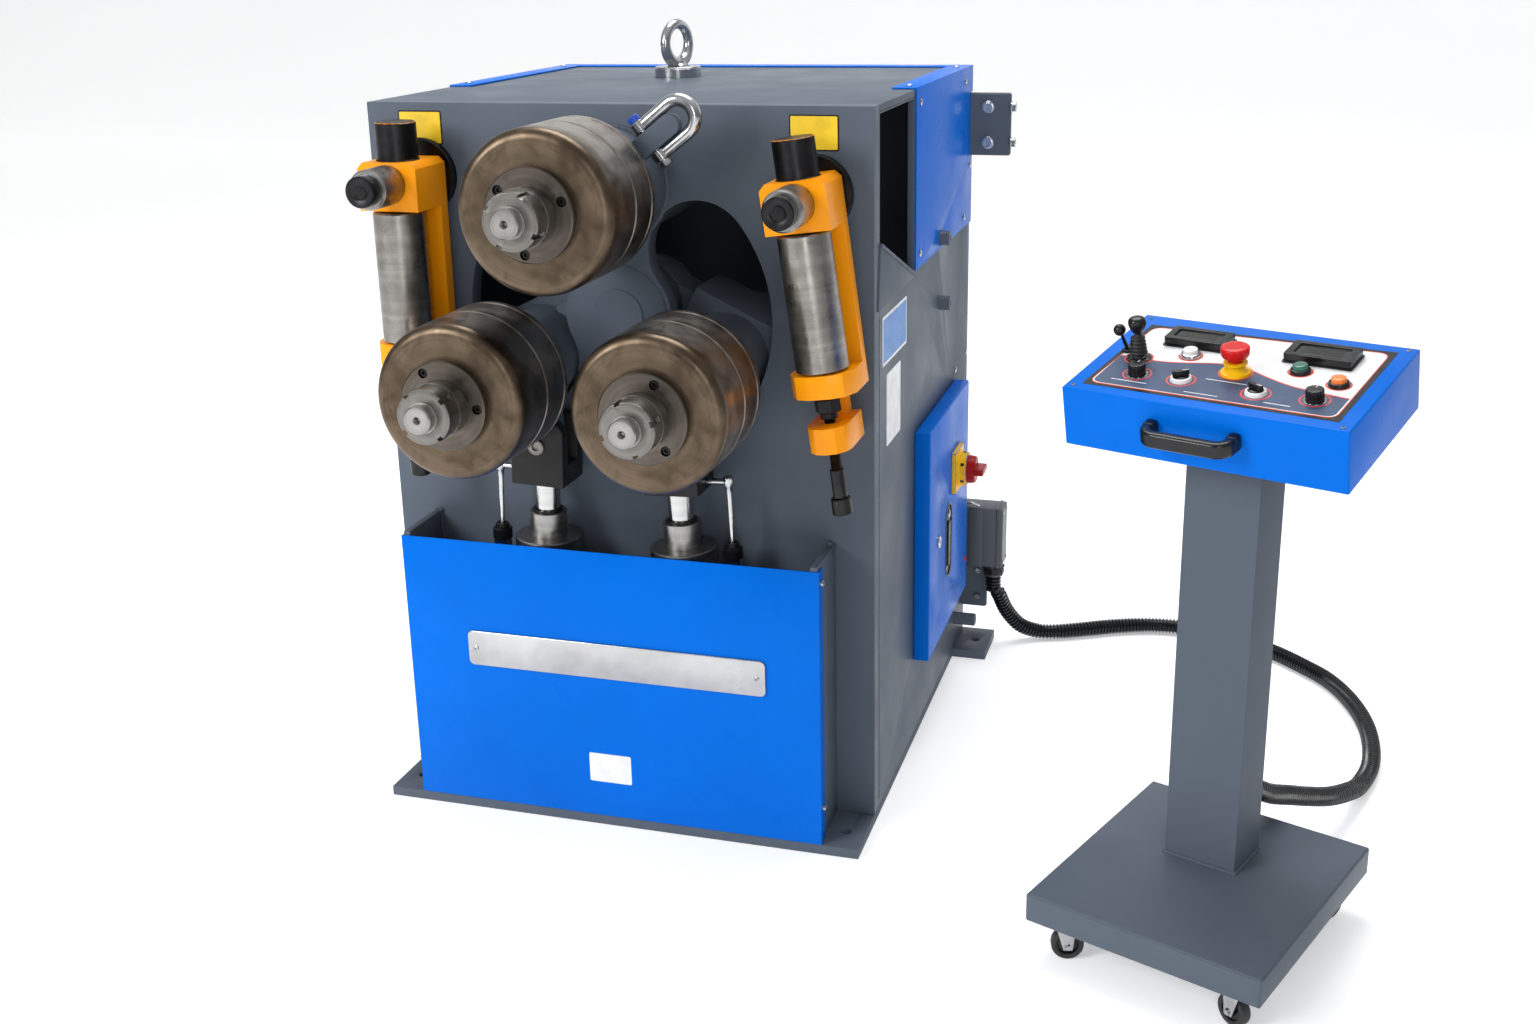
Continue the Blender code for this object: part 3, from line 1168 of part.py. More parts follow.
def cabinet_door():
    inner = HALF_WIDTH + SEAT
    outer = inner + DOOR_DEPTH
    y0, y1 = FRONT_Y + DOOR_START, FRONT_Y + DOOR_END
    body = soften(box("door", (inner, y0, DOOR_LOW), (outer, y1, DOOR_HIGH)), 0.002)
    sheet = DOOR_SHEET
    cut(body, box("door hollow", (inner - CUT_REACH, y0 + sheet, DOOR_LOW + sheet),
                  (outer - sheet, y1 - sheet, DOOR_HIGH - sheet)))
    x, y = door_axis()
    for height in (DOOR_LOW + 0.06, DOOR_HIGH - 0.11):
        join(body, cylinder("hinge", (x, y, height), (x, y, height + 0.05), DOOR_SHEET, 10))
    join(body, switch_base(outer))
    cut(body, hole("switch hole", (outer - CUT_REACH, FRONT_Y + SWITCH_Y, SWITCH_Z),
                   (outer + CUT_REACH, FRONT_Y + SWITCH_Y, SWITCH_Z), SPINDLE_RADIUS + RUNNING, STEM_SIDES))
    slot_start, slot_end, slot_low, slot_high = HANDLE_SLOT
    slot = plate("handle slot", "YZ", rounded((FRONT_Y + slot_start, slot_low),
                                              (FRONT_Y + slot_end, slot_high), 0.026, 4),
                 outer - 0.002, outer + CUT_REACH)
    cut(body, slot)
    return part(body, "cabinet_door", BLUE, axis_point=(x, y, (DOOR_LOW + DOOR_HIGH) / 2))


def switch_base(outer):
    """The main switch's square base and collar on the door's outer face."""
    y, z = FRONT_Y + SWITCH_Y, SWITCH_Z
    half = SWITCH_BASE / 2
    body = box("base", (outer - DOOR_SHEET / 2, y - half, z - half),
               (outer + SWITCH_BASE_DEPTH * 0.35, y + half, z + half))
    return join(body, cylinder("collar", (outer, y, z), (outer + SWITCH_BASE_DEPTH, y, z),
                               SWITCH_COLLAR_RADIUS, 16))


def cabinet_tub():
    """The open steel tub behind the door, with its mounting plate folded in one sheet."""
    margin = TUB_MARGIN + SEAT
    y0, y1 = FRONT_Y + DOOR_START + margin, FRONT_Y + DOOR_END - margin
    z0, z1 = DOOR_LOW + margin, DOOR_HIGH - margin
    outer = HALF_WIDTH - SIDE_THICKNESS - SEAT
    body = box("tub", (outer - TUB_DEPTH, y0 - 0.012, z0 - 0.012), (outer, y1 + 0.012, z1 + 0.012))
    cut(body, box("tub hollow", (outer - TUB_DEPTH + DOOR_SHEET, y0, z0), (outer + CUT_REACH, y1, z1)))
    return part(body, "cabinet_tub", GREY)


def main_switch():
    """The main switch's knob on its spindle through the door."""
    x = HALF_WIDTH + SEAT + DOOR_DEPTH + SWITCH_BASE_DEPTH + SEAT
    y, z = FRONT_Y + SWITCH_Y, SWITCH_Z
    body = cylinder("knob", (x, y, z), (x + SWITCH_KNOB_DEPTH / 2, y, z), SWITCH_KNOB_RADIUS, 16)
    join(body, box("grip", (x, y - SWITCH_GRIP / 2, z - SWITCH_KNOB_RADIUS),
                   (x + SWITCH_KNOB_DEPTH, y + SWITCH_GRIP / 2, z + SWITCH_KNOB_RADIUS)))
    join(body, cylinder("spindle", (x - SPINDLE_LENGTH, y, z), (x + SWITCH_KNOB_DEPTH / 4, y, z),
                        SPINDLE_RADIUS,
                        STEM_SIDES))
    return part(body, "main_switch", RED, axis_point=(x, y, z))


def supply_connector():
    x0 = HALF_WIDTH + SEAT
    x1 = x0 + CONNECTOR_WIDTH
    y0, y1 = FRONT_Y + CONNECTOR_START, FRONT_Y + CONNECTOR_END
    body = soften(box("connector", (x0, y0, CONNECTOR_LOW), (x1, y1, CONNECTOR_HIGH)), 0.003)
    x, y = connector_gland()
    join(body, cylinder("gland", (x, y, CONNECTOR_LOW - CONNECTOR_GLAND_LENGTH), (x, y, CONNECTOR_LOW + 0.01),
                        COLUMN_GLAND_RADIUS, 16))
    return part(body, "supply_connector", DARK)


def connector_gland():
    return (HALF_WIDTH + SEAT + CONNECTOR_WIDTH - COLUMN_GLAND_RADIUS - 0.001,
            FRONT_Y + (CONNECTOR_START + CONNECTOR_END) / 2)


def hydraulic_unit():
    y1 = REAR_Y - REAR_THICKNESS - 0.02
    y0 = y1 - TANK_DEPTH
    middle = (y0 + y1) / 2
    floor = BASE_THICKNESS + SEAT
    x0 = -TANK_WIDTH / 2 - 0.05
    body = box("tank", (x0, y0, floor), (x0 + TANK_WIDTH, y1, floor + TANK_HEIGHT))
    top = floor + TANK_HEIGHT
    join(body, cylinder("pump motor", (x0 + 0.12, middle, top - 0.01), (x0 + 0.12, middle, top + PUMP_LENGTH),
                        PUMP_RADIUS, 24))
    join(body, box("valve block", (x0 + 0.26, middle - 0.05, top - 0.01),
                   (x0 + 0.36, middle + 0.05, top + 0.08)))
    return part(body, "hydraulic_unit", DARK)


# Console
def console_frame():
    place = Matrix.Translation((CONSOLE_PLACE[0], CONSOLE_PLACE[1] + FRONT_Y, 0))
    return place @ Matrix.Rotation(math.radians(CONSOLE_TURN), 4, "Z")


def panel_frame():
    """The frame of the console's tilted top face, in the console's own frame."""
    place = Matrix.Translation((BOX_OFFSET[0], BOX_OFFSET[1], BOX_TOP_Z))
    return place @ Matrix.Rotation(math.radians(BOX_TILT), 4, "X")


def column_gland():
    """The console column's cable gland: its two ends in the console's frame."""
    back = COLUMN_OFFSET[1] + COLUMN_DEPTH / 2
    x = COLUMN_OFFSET[0] + COLUMN_GLAND_OFFSET
    return (Vector((x, back - COLUMN_WALL / 2, COLUMN_GLAND_HEIGHT)),
            Vector((x, back + COLUMN_GLAND_LENGTH, COLUMN_GLAND_HEIGHT)))


def console_stand(frame):
    half_w, half_d = STAND_WIDTH / 2, STAND_DEPTH / 2
    low = STAND_TOP - STAND_SKIRT
    body = soften(box("stand", (-half_w, -half_d, low), (half_w, half_d, STAND_TOP)), 0.003)
    sheet = STAND_SHEET
    cut(body, box("stand hollow", (sheet - half_w, sheet - half_d, low - CUT_REACH),
                  (half_w - sheet, half_d - sheet, STAND_TOP - sheet)))
    for x, y in caster_places():
        pad = FORK_PLATE_RADIUS + 0.004
        join(body, box("pad", (x - pad, y - pad, low + SEAT), (x + pad, y + pad, STAND_TOP - sheet / 2)))
    x, y = COLUMN_OFFSET
    half_w, half_d = COLUMN_WIDTH / 2, COLUMN_DEPTH / 2
    join(body, box("column", (x - half_w, y - half_d, STAND_TOP - sheet / 2),
                   (x + half_w, y + half_d, BOX_TOP_Z)))
    gland_start, gland_end = column_gland()
    join(body, cylinder("gland", gland_start, gland_end, COLUMN_GLAND_RADIUS, 16))
    wall = COLUMN_WALL
    cut(body, box("column hollow", (x - half_w + wall, y - half_d + wall, STAND_TOP),
                  (x + half_w - wall, y + half_d - wall, BOX_TOP_Z + CUT_REACH)))
    above = box("above", (-BOX_WIDTH, -BOX_DEPTH, -BOX_THICKNESS - SEAT),
                (BOX_WIDTH, BOX_DEPTH, BOX_THICKNESS))
    above.matrix_basis = panel_frame()
    cut(body, above)
    return part(body, "console_stand", GREY, frame=frame)


def console_box(panel):
    half_w, half_d = BOX_WIDTH / 2, BOX_DEPTH / 2
    wall = BOX_WALL
    body = soften(box("console", (-half_w, -half_d, -BOX_THICKNESS), (half_w, half_d, 0)), 0.002)
    cut(body, box("console hollow", (wall - half_w, wall - half_d, wall - BOX_THICKNESS),
                  (half_w - wall, half_d - wall, -wall)))
    over = (COLUMN_OFFSET[0] - BOX_OFFSET[0], COLUMN_OFFSET[1] - BOX_OFFSET[1])
    cut(body, hole("cable hole", (*over, -BOX_THICKNESS - CUT_REACH), (*over, 2 * wall - BOX_THICKNESS),
                       CABLE_HOLE, 20))
    for x, y, width, depth in DISPLAYS.values():
        join(body, box("display", (x - width / 2, y - depth / 2, -wall / 2),
                       (x + width / 2, y + depth / 2, DISPLAY_HEIGHT)))
    for (x, y), radius, height in ((STOP_PLACE, STOP_COLLAR_RADIUS, STOP_COLLAR_HEIGHT),
                                   (JOYSTICK_PLACE, JOYSTICK_BASE_RADIUS, TILT_COLLAR_HEIGHT),
                                   (LEVER_PLACE, LEVER_COLLAR_RADIUS, TILT_COLLAR_HEIGHT)):
        join(body, cylinder("collar", (x, y, -wall / 2), (x, y, height), radius, 14))
    stop_top = (*STOP_PLACE, STOP_COLLAR_HEIGHT + wall)
    cut(body, hole("stop well", (*STOP_PLACE, 0), stop_top, STOP_NECK_RADIUS + RUNNING, 12))
    for x, y in [*BUTTONS.values(), STOP_PLACE, *KNOBS.values(), *SELECTORS.values()]:
        cut(body, hole("stem hole", (x, y, -3 * wall), (x, y, 3 * wall), STEM_RADIUS + RUNNING, STEM_SIDES))
    for x, y in (JOYSTICK_PLACE, LEVER_PLACE):
        cut(body, hole("tilt hole", (x, y, -3 * wall), (x, y, 3 * wall), TILT_HOLE, 8))
    return part(body, "console_box", BLUE, frame=panel)


def stem(x, y, top):
    return cylinder("stem", (x, y, -STEM_LENGTH), (x, y, top), STEM_RADIUS, STEM_SIDES)


def console_grip(panel):
    half = GRIP_HALF_WIDTH
    front = -BOX_DEPTH / 2 - SEAT
    x0, height = GRIP_PLACE
    corner = GRIP_CORNER
    points = [Vector((x0 - half, front, height))]
    points += [Vector((x0 + x, front - GRIP_REACH + y, height))
               for x, y in arc((corner - half, corner), corner, 180, 270, 4)]
    points += [Vector((x0 + x, front - GRIP_REACH + y, height))
               for x, y in arc((half - corner, corner), corner, 270, 360, 4)]
    points.append(Vector((x0 + half, front, height)))
    body = tube("grip", points, GRIP_RADIUS, 2)
    return part(body, "console_grip", BLACK, frame=panel)


def caster_places():
    x, y = STAND_WIDTH / 2 - CASTER_INSET, STAND_DEPTH / 2 - CASTER_INSET
    return ((-x, -y), (x, -y), (x, y), (-x, y))


def caster(index, place, turn, frame):
    """A swivel fork and its wheel: the fork's frame sits on the swivel axis."""
    at = Matrix.Translation((*place, 0)) @ Matrix.Rotation(math.radians(turn), 4, "Z")
    swivel = empty("caster_%d_frame" % index, at, frame)
    top = STAND_TOP - STAND_SKIRT - SEAT
    trail = WHEEL_TRAIL
    inner = WHEEL_WIDTH / 2 + 0.0015
    body = cylinder("fork", (0, 0, top - 0.004), (0, 0, top), FORK_PLATE_RADIUS, 10)
    join(body, box("crown", (-0.004, -inner - FORK_SHEET, top - 0.012),
                   (trail + 0.012, inner + FORK_SHEET, top - 0.003)))
    for side in (-1, 1):
        low, high = sorted((side * inner, side * (inner + FORK_SHEET)))
        cheek = [(0.0, top - 0.011), (trail - 0.007, WHEEL_RADIUS - 0.006),
                 (trail + 0.007, WHEEL_RADIUS - 0.006),
                 (trail + 0.011, top - 0.011)]
        join(body, plate("cheek", "XZ", cheek, low, high))
    cut(body, box("wheel room", (trail - WHEEL_RADIUS - 0.0015, -inner, 0.0),
                  (trail + WHEEL_RADIUS + 0.0015, inner, 2 * WHEEL_RADIUS + 0.0015)))
    join(body, cylinder("axle", (trail, -inner - FORK_SHEET - 0.002, WHEEL_RADIUS),
                        (trail, inner + FORK_SHEET + 0.002, WHEEL_RADIUS), WHEEL_BORE - RUNNING, 6))
    part(body, "caster_fork_%d" % index, STEEL, frame=swivel)
    half = WHEEL_WIDTH / 2
    tread = [(WHEEL_BORE, half), (WHEEL_RADIUS, half), (WHEEL_RADIUS, -half), (WHEEL_BORE, -half),
             (WHEEL_BORE, half)]
    wheel = turned("wheel", tread, (trail, 0, WHEEL_RADIUS), (0, 1, 0), 16)
    part(wheel, "caster_wheel_%d" % index, BLACK, frame=swivel)


# Controls on the panel
def button(name, panel, material):
    x, y = BUTTONS[name]
    body = cylinder(name, (x, y, BUTTON_TRAVEL + SEAT), (x, y, BUTTON_HEIGHT + BUTTON_TRAVEL),
                    BUTTON_RADIUS, 16)
    join(body, stem(x, y, BUTTON_HEIGHT))
    return part(body, name, material, axis_point=(x, y, 0), frame=panel)


def emergency_stop(panel):
    x, y = STOP_PLACE
    profile = [(0, STOP_CAP_TOP), (STOP_CAP_RADIUS * 0.7, STOP_CAP_TOP - 0.001),
               (STOP_CAP_RADIUS, STOP_CAP_TOP - 0.006),
               (STOP_CAP_RADIUS, STOP_CAP_LOW + 0.002), (STOP_CAP_RADIUS - 0.004, STOP_CAP_LOW),
               (STOP_NECK_RADIUS, STOP_CAP_LOW - 0.002), (STOP_NECK_RADIUS, BUTTON_TRAVEL + SEAT),
               (STEM_RADIUS, BUTTON_TRAVEL + SEAT),
               (STEM_RADIUS, -STEM_LENGTH), (0, -STEM_LENGTH)]
    body = turned("stop", profile, (x, y, 0), (0, 0, 1), 14)
    return part(body, "emergency_stop", RED, axis_point=(x, y, 0), frame=panel)


def knob(name, panel):
    x, y = KNOBS[name]
    body = cylinder(name, (x, y, SEAT), (x, y, KNOB_HEIGHT), KNOB_RADIUS, 16, KNOB_RADIUS * 0.92)
    join(body, stem(x, y, KNOB_HEIGHT / 2))
    return part(body, name, BLACK, axis_point=(x, y, 0), frame=panel)


def selector(name, panel):
    x, y = SELECTORS[name]
    body = cylinder(name, (x, y, SEAT), (x, y, 0.007), SELECTOR_RADIUS, 16)
    grip = box("wing", (-SELECTOR_RADIUS * 0.9, -0.0035, 0.005), (SELECTOR_RADIUS * 0.9, 0.0035, 0.016))
    turn = Matrix.Rotation(math.radians(SELECTOR_TURN[name]), 4, "Z")
    grip.matrix_basis = Matrix.Translation((x, y, 0)) @ turn
    join(body, grip)
    join(body, stem(x, y, 0.003))
    return part(body, name, BLACK, axis_point=(x, y, 0), frame=panel)


def joystick(panel):
    x, y = JOYSTICK_PLACE
    folds = [(0.0135 - 0.0014 * i + (0.0015 if i % 2 else 0.0),
              JOYSTICK_BOOT_LOW + 0.0055 * i) for i in range(5)]
    profile = [(0, JOYSTICK_BALL_HEIGHT), (0.004, JOYSTICK_BALL_HEIGHT), (0.005, folds[-1][1] + 0.002)]
    profile += folds[::-1]
    profile += [(STEM_RADIUS, JOYSTICK_BOOT_LOW), (STEM_RADIUS, -STEM_LENGTH), (0, -STEM_LENGTH)]
    body = turned("joystick", profile, (x, y, 0), (0, 0, 1), 12)
    join(body, ball("knob", (x, y, JOYSTICK_BALL_HEIGHT), JOYSTICK_BALL, 10))
    return part(body, "joystick", BLACK, axis_point=(x, y, 0), frame=panel)


def small_lever(panel):
    x, y = LEVER_PLACE
    lean = math.radians(LEVER_LEAN)
    tip = Vector((x, y, 0)) + Vector((-0.25 * math.sin(lean), -math.sin(lean),
                                      math.cos(lean))) * LEVER_BALL_HEIGHT
    body = stem(x, y, TILT_COLLAR_HEIGHT + 2 * RUNNING)
    join(body, cylinder("rod", (x, y, 0), tip, 0.0028, 8))
    join(body, ball("knob", tip, LEVER_BALL, 10))
    return part(body, "small_lever", BLACK, axis_point=(x, y, 0), frame=panel)


# Ribbed conduit
def smooth_route(points, steps=12):
    """A Catmull-Rom curve through the points, with its first and last stretch left straight."""
    route = [points[0]]
    for before, start, end, after in zip(points, points[1:], points[2:], points[3:]):
        for i in range(steps):
            t = i / steps
            route.append(0.5 * (2 * start + (end - before) * t + (2 * before - 5 * start + 4 * end - after) * t * t
                                + (3 * start - before - 3 * end + after) * t * t * t))
    return [*route, points[-2], points[-1]]


def even_points(route, count):
    """Places at equal steps along a route of close points."""
    lengths = [0.0]
    for first, second in zip(route, route[1:]):
        lengths.append(lengths[-1] + (second - first).length)
    places = []
    index = 0
    for i in range(count):
        want = lengths[-1] * i / (count - 1)
        while index < len(route) - 2 and lengths[index + 1] < want:
            index += 1
        share = (want - lengths[index]) / (lengths[index + 1] - lengths[index])
        places.append(route[index].lerp(route[index + 1], share))
    return places, lengths[-1]


def least_gap(places, diameter, skip):
    """The least distance between stretches of the tube that are not neighbours, less its diameter."""
    gaps = [(first - second).length for i, first in enumerate(places) for second in places[i + skip:]]
    return min(gaps) - diameter


def conduit():
    x, y = connector_gland()
    top = CONNECTOR_LOW - CONNECTOR_GLAND_LENGTH - SEAT
    frame = console_frame()
    gland_end = frame @ (column_gland()[1] + Vector((0, SEAT, 0)))
    out = (frame.to_3x3() @ Vector((0, 1, 0))).normalized()
    ends = ([Vector((x, y, top)), Vector((x, y, top - CONDUIT_LEAD))],
            [gland_end + out * CONDUIT_LEAD, gland_end])
    middle = [Vector(point) for point in CONDUIT_ROUTE]
    route = smooth_route([*ends[0], *middle, *ends[1]])
    ribs, length = even_points(route, 2 * CONDUIT_RIBS)
    radii = [CONDUIT_RADIUS - (CONDUIT_RIB_STEP if i % 2 else 0.0) for i in range(len(ribs))]
    body = tube("conduit", ribs, radii, 2)
    inner, _ = even_points(route, CONDUIT_BORE_POINTS)
    inner[0] += (inner[0] - inner[1]).normalized() * CUT_REACH / 10
    inner[-1] += (inner[-1] - inner[-2]).normalized() * CUT_REACH / 10
    cut(body, tube("bore", inner, CONDUIT_BORE, 1))
    print("conduit length %.3f m, least gap to itself %.4f m" % (length,
                                                                 least_gap(ribs, 2 * CONDUIT_RADIUS, 30)))
    return part(body, "conduit", BLACK)


def console():
    frame = empty("console_frame", console_frame())
    panel = empty("panel_frame", panel_frame(), frame)
    console_stand(frame)
    console_box(panel)
    console_grip(panel)
    for index, (place, turn) in enumerate(zip(caster_places(), CASTER_TURNS), 1):
        caster(index, place, turn, frame)
    button("white_button", panel, WHITE)
    button("green_button", panel, GREEN)
    button("orange_button", panel, ORANGE)
    emergency_stop(panel)
    for name in KNOBS:
        knob(name, panel)
    for name in SELECTORS:
        selector(name, panel)
    joystick(panel)
    small_lever(panel)


def machine():
    base_plate()
    front_plate()
    left_side_plate()
    right_side_plate()
    top_plate()
    rear_panel()
    rear_hood()
    front_cover()
    lifting_eye()
    shackle()
    cabinet_tub()
    cabinet_door()
    main_switch()
    supply_connector()
    upper_gear_motor()
    hydraulic_unit()
    for name in ("upper", "left", "right"):
        shaft(name)
        roll(name)
    for name in SIDES:
        swing_arm(name)
        cylinder_set(name)
        guide(name)


clear_scene()
SIDES = {"left": -1, "right": 1}
PARTS = new_collection("profile_bending_machine")
CUTTERS = new_collection("cutters")
GREY = make_material("grey paint", (0.095, 0.110, 0.130), 0.45)
BLUE = make_material("blue paint", (0.004, 0.160, 0.800), 0.35)
ORANGE = make_material("orange paint", (0.900, 0.330, 0.010), 0.40)
DARK = make_material("dark housing", (0.060, 0.068, 0.078), 0.50)
BLACK = make_material("black", (0.012, 0.012, 0.013), 0.40)
WHITE = make_material("white plastic", (0.800, 0.800, 0.780), 0.35)
GREEN = make_material("green plastic", (0.010, 0.210, 0.120), 0.35)
RED = make_material("red plastic", (0.700, 0.015, 0.012), 0.30)
STEEL = make_material("machined steel", (0.560, 0.550, 0.540), 0.30, 1.0)
ROLL_STEEL = make_material("roll steel", (0.330, 0.290, 0.250), 0.35, 1.0)
CHROME = make_material("chromed steel", (0.700, 0.700, 0.710), 0.15, 1.0)
machine()
console()
conduit()
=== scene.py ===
"""Looks of the three-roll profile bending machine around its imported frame, in metres, +Z up."""
import math

import bmesh
import bpy
from mathutils import Matrix, Vector


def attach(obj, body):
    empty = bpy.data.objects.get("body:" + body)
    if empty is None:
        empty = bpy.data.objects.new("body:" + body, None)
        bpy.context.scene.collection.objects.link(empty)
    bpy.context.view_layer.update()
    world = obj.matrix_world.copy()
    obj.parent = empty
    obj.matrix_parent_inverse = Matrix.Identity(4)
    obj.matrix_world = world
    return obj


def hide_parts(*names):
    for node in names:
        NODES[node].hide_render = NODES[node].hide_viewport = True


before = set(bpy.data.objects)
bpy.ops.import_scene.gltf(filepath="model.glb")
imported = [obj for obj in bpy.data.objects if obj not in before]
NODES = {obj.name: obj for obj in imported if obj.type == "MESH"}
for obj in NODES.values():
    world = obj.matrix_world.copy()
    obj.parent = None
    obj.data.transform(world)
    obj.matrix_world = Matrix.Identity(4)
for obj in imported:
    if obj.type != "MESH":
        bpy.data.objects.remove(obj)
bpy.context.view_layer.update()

# Sizes that repeat those of the solids
FRONT_Y = -0.3715
HALF_WIDTH = 0.4425
PLATE_BACK = FRONT_Y + 0.035
REAR_Y = 0.4935
BODY_HEIGHT = 1.25
COVER_FRONT = FRONT_Y - 0.122
UPPER = (0.0, 1.119)
PIVOT = (0.0, 0.899)
CLEVIS_PIN = 0.6004
SENSOR_OFFSET = 0.088
SWING = 0.183
LOWER = {"left": (-0.16448, 0.81878), "right": (0.16448, 0.81878)}
ROLL_AXES = {"upper": UPPER, "left": LOWER["left"], "right": LOWER["right"]}
BOLT_START = {"upper": 22, "left": -1, "right": 68}
SIDES = {"left": -1, "right": 1}
DOOR_FACE = HALF_WIDTH + 0.0303
SWITCH = (FRONT_Y + 0.575, 0.485)
CONDUIT_DIAMETER = 0.0336
CONDUIT_RIB = 0.0076

CONSOLE = Matrix.Translation((1.0063, -0.1985 + FRONT_Y, 0)) @ Matrix.Rotation(math.radians(-21.4), 4, "Z")
PANEL = CONSOLE @ Matrix.Translation((-0.011, 0.046, 0.901)) @ Matrix.Rotation(math.radians(11.8), 4, "X")


# Camera, at the photograph's place
def make_camera():
    data = bpy.data.cameras.new("camera")
    data.lens = 38.38
    data.sensor_width = 36.0
    data.shift_x = -0.0059
    data.shift_y = -0.0467
    data.clip_start = 0.05
    data.clip_end = 60.0
    camera = bpy.data.objects.new("camera", data)
    camera.location = (1.0346, -2.8863, 1.4891)
    camera.rotation_euler = [math.radians(a) for a in (73.242, 1.027, 16.492)]
    bpy.context.scene.collection.objects.link(camera)
    bpy.context.scene.camera = camera


# Materials
class Net:
    """A material's node tree around its shader."""

    def __init__(self, name, color, roughness, metallic=0.0, **values):
        self.material = bpy.data.materials.new(name)
        self.material.use_nodes = True
        self.tree = self.material.node_tree
        self.shader = self.tree.nodes["Principled BSDF"]
        self.set("Base Color", (*color, 1.0))
        self.set("Roughness", roughness)
        self.set("Metallic", metallic)
        for key, value in values.items():
            self.set(key.replace("_", " "), value)
        self.place = self.add("ShaderNodeTexCoord").outputs["Object"]
        self.normal = None

    def set(self, socket, value):
        self.shader.inputs[socket].default_value = value

    def add(self, kind, **values):
        node = self.tree.nodes.new(kind)
        for key, value in values.items():
            setattr(node, key, value)
        return node

    def link(self, start, end):
        self.tree.links.new(start, end)

    def noise(self, scale, detail=3.0, roughness=0.55, place=None, distortion=0.0):
        node = self.add("ShaderNodeTexNoise")
        self.link(place or self.place, node.inputs["Vector"])
        node.inputs["Scale"].default_value = scale
        node.inputs["Detail"].default_value = detail
        node.inputs["Roughness"].default_value = roughness
        node.inputs["Distortion"].default_value = distortion
        return node.outputs["Fac"]

    def ramp(self, value, *stops):
        node = self.add("ShaderNodeValToRGB")
        self.link(value, node.inputs["Fac"])
        elements = node.color_ramp.elements
        while len(elements) < len(stops):
            elements.new(0.5)
        for element, (position, color) in zip(elements, stops):
            element.position = position
            element.color = (*color, 1.0) if isinstance(color, tuple) else (color, color, color, 1.0)
        return node.outputs["Color"]

    def mix(self, factor, first, second):
        node = self.add("ShaderNodeMix", data_type="RGBA")
        self.link(factor, node.inputs[0])
        for socket, value in ((6, first), (7, second)):
            if isinstance(value, bpy.types.NodeSocket):
                self.link(value, node.inputs[socket])
            else:
                node.inputs[socket].default_value = (*value, 1.0)
        return node.outputs[2]

    def bump(self, height, strength, distance=0.001):
        node = self.add("ShaderNodeBump")
        node.inputs["Strength"].default_value = strength
        node.inputs["Distance"].default_value = distance
        self.link(height, node.inputs["Height"])
        if self.normal is not None:
            self.link(self.normal, node.inputs["Normal"])
        self.normal = node.outputs["Normal"]
        self.link(self.normal, self.shader.inputs["Normal"])

    def tint(self, color):
        self.link(color, self.shader.inputs["Base Color"])

    def rough(self, value, low, high):
        self.link(self.ramp(value, (0.3, low), (0.7, high)), self.shader.inputs["Roughness"])

    def polar(self, radial, axial):
        """The place as (distance from the piece's own Z axis, height along it), each scaled."""
        split = self.add("ShaderNodeSeparateXYZ")
        self.link(self.place, split.inputs[0])
        flat = self.add("ShaderNodeCombineXYZ")
        self.link(split.outputs["X"], flat.inputs["X"])
        self.link(split.outputs["Y"], flat.inputs["Y"])
        length = self.add("ShaderNodeVectorMath", operation="LENGTH")
        self.link(flat.outputs[0], length.inputs[0])
        joined = self.add("ShaderNodeCombineXYZ")
        for source, socket, scale in ((length.outputs["Value"], "X", radial), (split.outputs["Z"], "Y",
                axial)):
            times = self.add("ShaderNodeMath", operation="MULTIPLY")
            times.inputs[1].default_value = scale
            self.link(source, times.inputs[0])
            self.link(times.outputs[0], joined.inputs[socket])
        return joined.outputs[0]


def shade(color, factor):
    return tuple(min(1.0, c * factor) for c in color[:3])


def paint(name, color, roughness, peel=0.10, marks=0.12, **values):
    """Sprayed paint: orange peel, cloudy tone, a few rubbed and dusty places."""
    net = Net(name, color, roughness, **values)
    clouds = net.noise(3.2, 4.0, 0.6)
    tone = net.ramp(clouds, (0.30, shade(color, 0.92)), (0.72, shade(color, 1.08)))
    dust = net.ramp(net.noise(24.0, 6.0, 0.7), (0.60, 0.0), (0.80, marks))
    net.tint(net.mix(dust, tone, shade(color, 1.5) if max(color) < 0.5 else shade(color, 1.10)))
    net.rough(net.noise(9.0, 4.0), max(0.05, roughness - 0.06), roughness + 0.08)
    net.bump(net.noise(420.0, 2.0, 0.4), peel, 0.0006)
    net.bump(net.noise(55.0, 2.0, 0.4), peel * 0.6, 0.0008)
    return net.material


